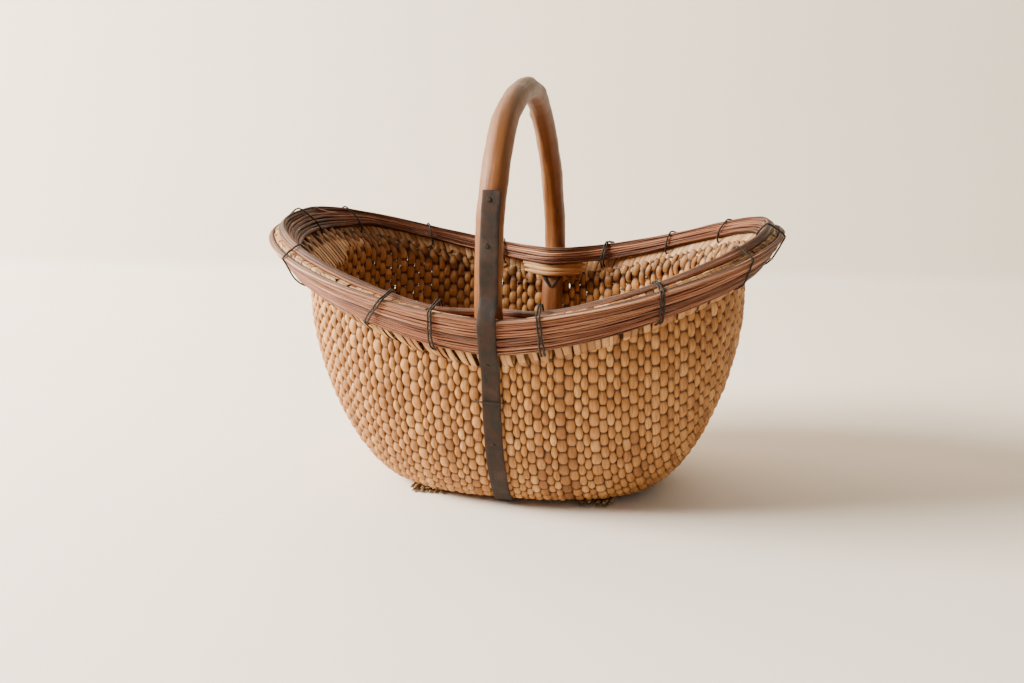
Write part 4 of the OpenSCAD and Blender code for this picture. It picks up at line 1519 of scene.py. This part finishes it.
def base_runner(name, node, seed, tufts, uneven):
    """A flattened bundle of split twigs; tufts and uneven set how frayed its ends are."""
    random = np.random.default_rng(seed)
    low, high = cad_box(node)
    skin = Skin()
    width = high[0] - low[0] - 4
    for layer in range(2):
        for index in range(TWIGS):
            x = low[0] + 2 + width * (index + 0.5) / TWIGS + random.uniform(-0.6, 0.6)
            front = low[1] + uneven * random.uniform(-6, 8)
            back = high[1] + uneven * random.uniform(-8, 6)
            y = np.arange(front, back, 4.0)
            end = np.minimum(y - front, back - y)
            loose = 1 - smooth_step(0, 18, end)
            x_line = x + 0.8 * wander(y, seed + index, 60) + loose * random.uniform(-2.5, 2.5)
            base = 1.7 + TWIG_LAYER_RISE * layer
            z_line = base + 0.3 * wander(y, seed + 40 + index, 50)
            turned_up = np.where(np.abs(y) > TURN_UP_FROM, (np.abs(y) - TURN_UP_FROM) * 0.10, 0)
            z_line = z_line + turned_up * (0.4 + layer)
            path = np.stack([x_line, y, z_line], -1)
            taper = 0.45 + 0.55 * smooth_step(0, 8, end)
            radius = TWIG_RADIUS * taper * random.uniform(0.85, 1.1)
            rings = tube(path, radius, np.array([0.0, 0, 1.0]), sides=8, flat=0.72)
            rings[..., 2] = np.maximum(rings[..., 2], 0.05)
            tone = 0.45 + 0.35 * random.uniform(-1, 1)
            grain = grain_of(y[:, None], np.linspace(0, 9, 8)[None], 31.0 * index + 90.0 * layer)
            skin.add(rings, tone, 0.25 * loose[:, None], grain)
    for _ in range(tufts):
        end_side = random.choice([-1, 1])
        x = random.uniform(low[0] + 4, high[0] - 4)
        tip = 7 + 7 * random.uniform()
        root = (high[1] - 8) if end_side > 0 else (low[1] + 8)
        share = np.linspace(0, 1, 8)
        path = np.stack([x + random.uniform(-4, 4) * share ** 2,
                         root + end_side * tip * share,
                         2.5 + random.uniform(-1.5, 3.0) * share + random.uniform(0, 2)], -1)
        path[:, 2] = np.maximum(path[:, 2], 0.5)
        radius = 0.45 * (1 - 0.7 * share)
        skin.add(tube(path, radius, np.array([0.1, 0, 1.0]), sides=5), 0.85)
    skin.build(name, RUNNER, "runner_wood", node)


def runner_cords(name, node):
    """Cord loops through the base that hold a runner on."""
    low, high = cad_box(node)
    skin = Skin()
    middle = (low + high) / 2
    for y in (low[1] + 1.5, high[1] - 1.5):
        turn = np.linspace(0, TAU, 120, endpoint=False)
        path = np.stack([
            middle[0] + ((high[0] - low[0]) / 2 - 1.5) * power(np.cos(turn), 0.4),
            y + 0.8 * np.sin(turn * 2),
            middle[2] + ((high[2] - low[2]) / 2 - 1.6) * power(np.sin(turn), 0.5)], -1)
        for strand in range(2):
            spin = turn * 34 + strand * math.pi
            twist = np.stack([0 * turn, 0.7 * np.cos(spin), 0.7 * np.sin(spin)], -1)
            skin.add(tube(path + twist, 0.85, np.array([0.0, 1.0, 0.0]), sides=6, looped=True),
                     0.6, 0.2, looped=True)
    skin.build(name, RUNNER, "hemp_cord", node)


# ---------------------------------------------------------------------------
# Stage
# ---------------------------------------------------------------------------

# Metres and degrees, in the scene's own frame
WALL_BEHIND = 0.97
WALL_CURVE = 0.03
WALL_TURN = 7.5
CAMERA_AZIMUTH = 12.6
CAMERA_ELEVATION = 15.0
CAMERA_DISTANCE = 1.522
CAMERA_TARGET = (-0.0151, -0.0034, 0.149)
CAMERA_LENS = 50


def stage():
    """Pale floor with a wall rising behind it, see-through from its back."""
    turn = math.radians(WALL_TURN)
    back = np.array([-math.sin(turn), math.cos(turn)])
    along = np.array([math.cos(turn), math.sin(turn)])
    depth = [(-5.0, 0.0), (WALL_BEHIND - WALL_CURVE, 0.0)]
    for step in range(1, 7):
        a = step / 6 * math.pi / 2
        depth.append((WALL_BEHIND - WALL_CURVE + WALL_CURVE * math.sin(a),
                      WALL_CURVE - WALL_CURVE * math.cos(a)))
    depth.append((WALL_BEHIND, 5.0))
    points = []
    for side in (-7, 7):
        points += [(*(back * y + along * side), z) for y, z in depth]
    count = len(depth)
    faces = [(i, count + i, count + i + 1, i + 1) for i in range(count - 1)]
    mesh = bpy.data.meshes.new("floor")
    mesh.from_pydata(points, [], faces)
    mesh.polygons.foreach_set("use_smooth", [True] * len(mesh.polygons))
    mesh.materials.append(floor_material())
    floor = bpy.data.objects.new("floor", mesh)
    bpy.context.scene.collection.objects.link(floor)


def area_light(name, place, target, size, power_w, color):
    """A soft rectangular light."""
    data = bpy.data.lights.new(name, "AREA")
    data.shape = "RECTANGLE"
    data.size, data.size_y = size
    data.energy = power_w
    data.color = color
    lamp = bpy.data.objects.new(name, data)
    lamp.location = place
    direction = np.array(target) - np.array(place)
    lamp.rotation_euler = look_rotation(direction)
    bpy.context.scene.collection.objects.link(lamp)


def look_rotation(direction):
    """Rotation that points a camera or light along a direction."""
    return Vector(direction).to_track_quat("-Z", "Y").to_euler()


def camera():
    """Camera at the photograph's viewing angle."""
    azimuth = math.radians(CAMERA_AZIMUTH)
    elevation = math.radians(CAMERA_ELEVATION)
    direction = np.array([math.sin(azimuth) * math.cos(elevation),
                          -math.cos(azimuth) * math.cos(elevation), math.sin(elevation)])
    data = bpy.data.cameras.new("camera")
    data.lens = CAMERA_LENS
    data.sensor_width = 36
    cam = bpy.data.objects.new("camera", data)
    cam.location = np.array(CAMERA_TARGET) + CAMERA_DISTANCE * direction
    cam.rotation_euler = look_rotation(-direction)
    bpy.context.scene.collection.objects.link(cam)
    bpy.context.scene.camera = cam


def world():
    """Dim warm surroundings."""
    background = bpy.data.worlds.new("studio")
    background.use_nodes = True
    node = background.node_tree.nodes["Background"]
    node.inputs["Color"].default_value = (1.0, 0.96, 0.90, 1)
    node.inputs["Strength"].default_value = 0.25
    bpy.context.scene.world = background


# ---------------------------------------------------------------------------
# Build
# ---------------------------------------------------------------------------

weave = rod_sheet()
willow_rods(weave)
hemp_cords(weave)
edge_splints()
rim_bundles()
rear_slats()
branch_handle()
iron_strap()
rim_ties()
lashing("rear_lashing", "handle_lashing_rear", 1, REAR_RADIUS, 0)
lashing("front_lashing", "handle_lashing_front", -1, FRONT_RADIUS, FRONT_LEAN)
strap_wire("front_strap_wire", "strap_wire_front", -1, FRONT_RADIUS)
strap_wire("rear_strap_wire", "strap_wire_rear", 1, REAR_RADIUS)
base_runner("left_runner", "base_runner_left", 81, tufts=8, uneven=0.3)
base_runner("right_runner", "base_runner_right", 97, tufts=46, uneven=1.0)
runner_cords("left_runner_cords", "runner_ties_left")
runner_cords("right_runner_cords", "runner_ties_right")
for nail_node in ("strap_nails_front", "strap_nails_rear"):
    nails = frame["nodes"][nail_node]
    nails.data.materials.clear()
    nails.data.materials.append(IRON)

stage()
area_light("window", (-3.15, -0.95, 2.05), (0, 0.2, 0.15), (1.9, 1.5), 700, (1.0, 0.94, 0.86))
area_light("fill", (1.5, -3.5, 2.4), (0, 0, 0.2), (3.0, 2.0), 6, (1.0, 0.95, 0.88))
world()
camera()
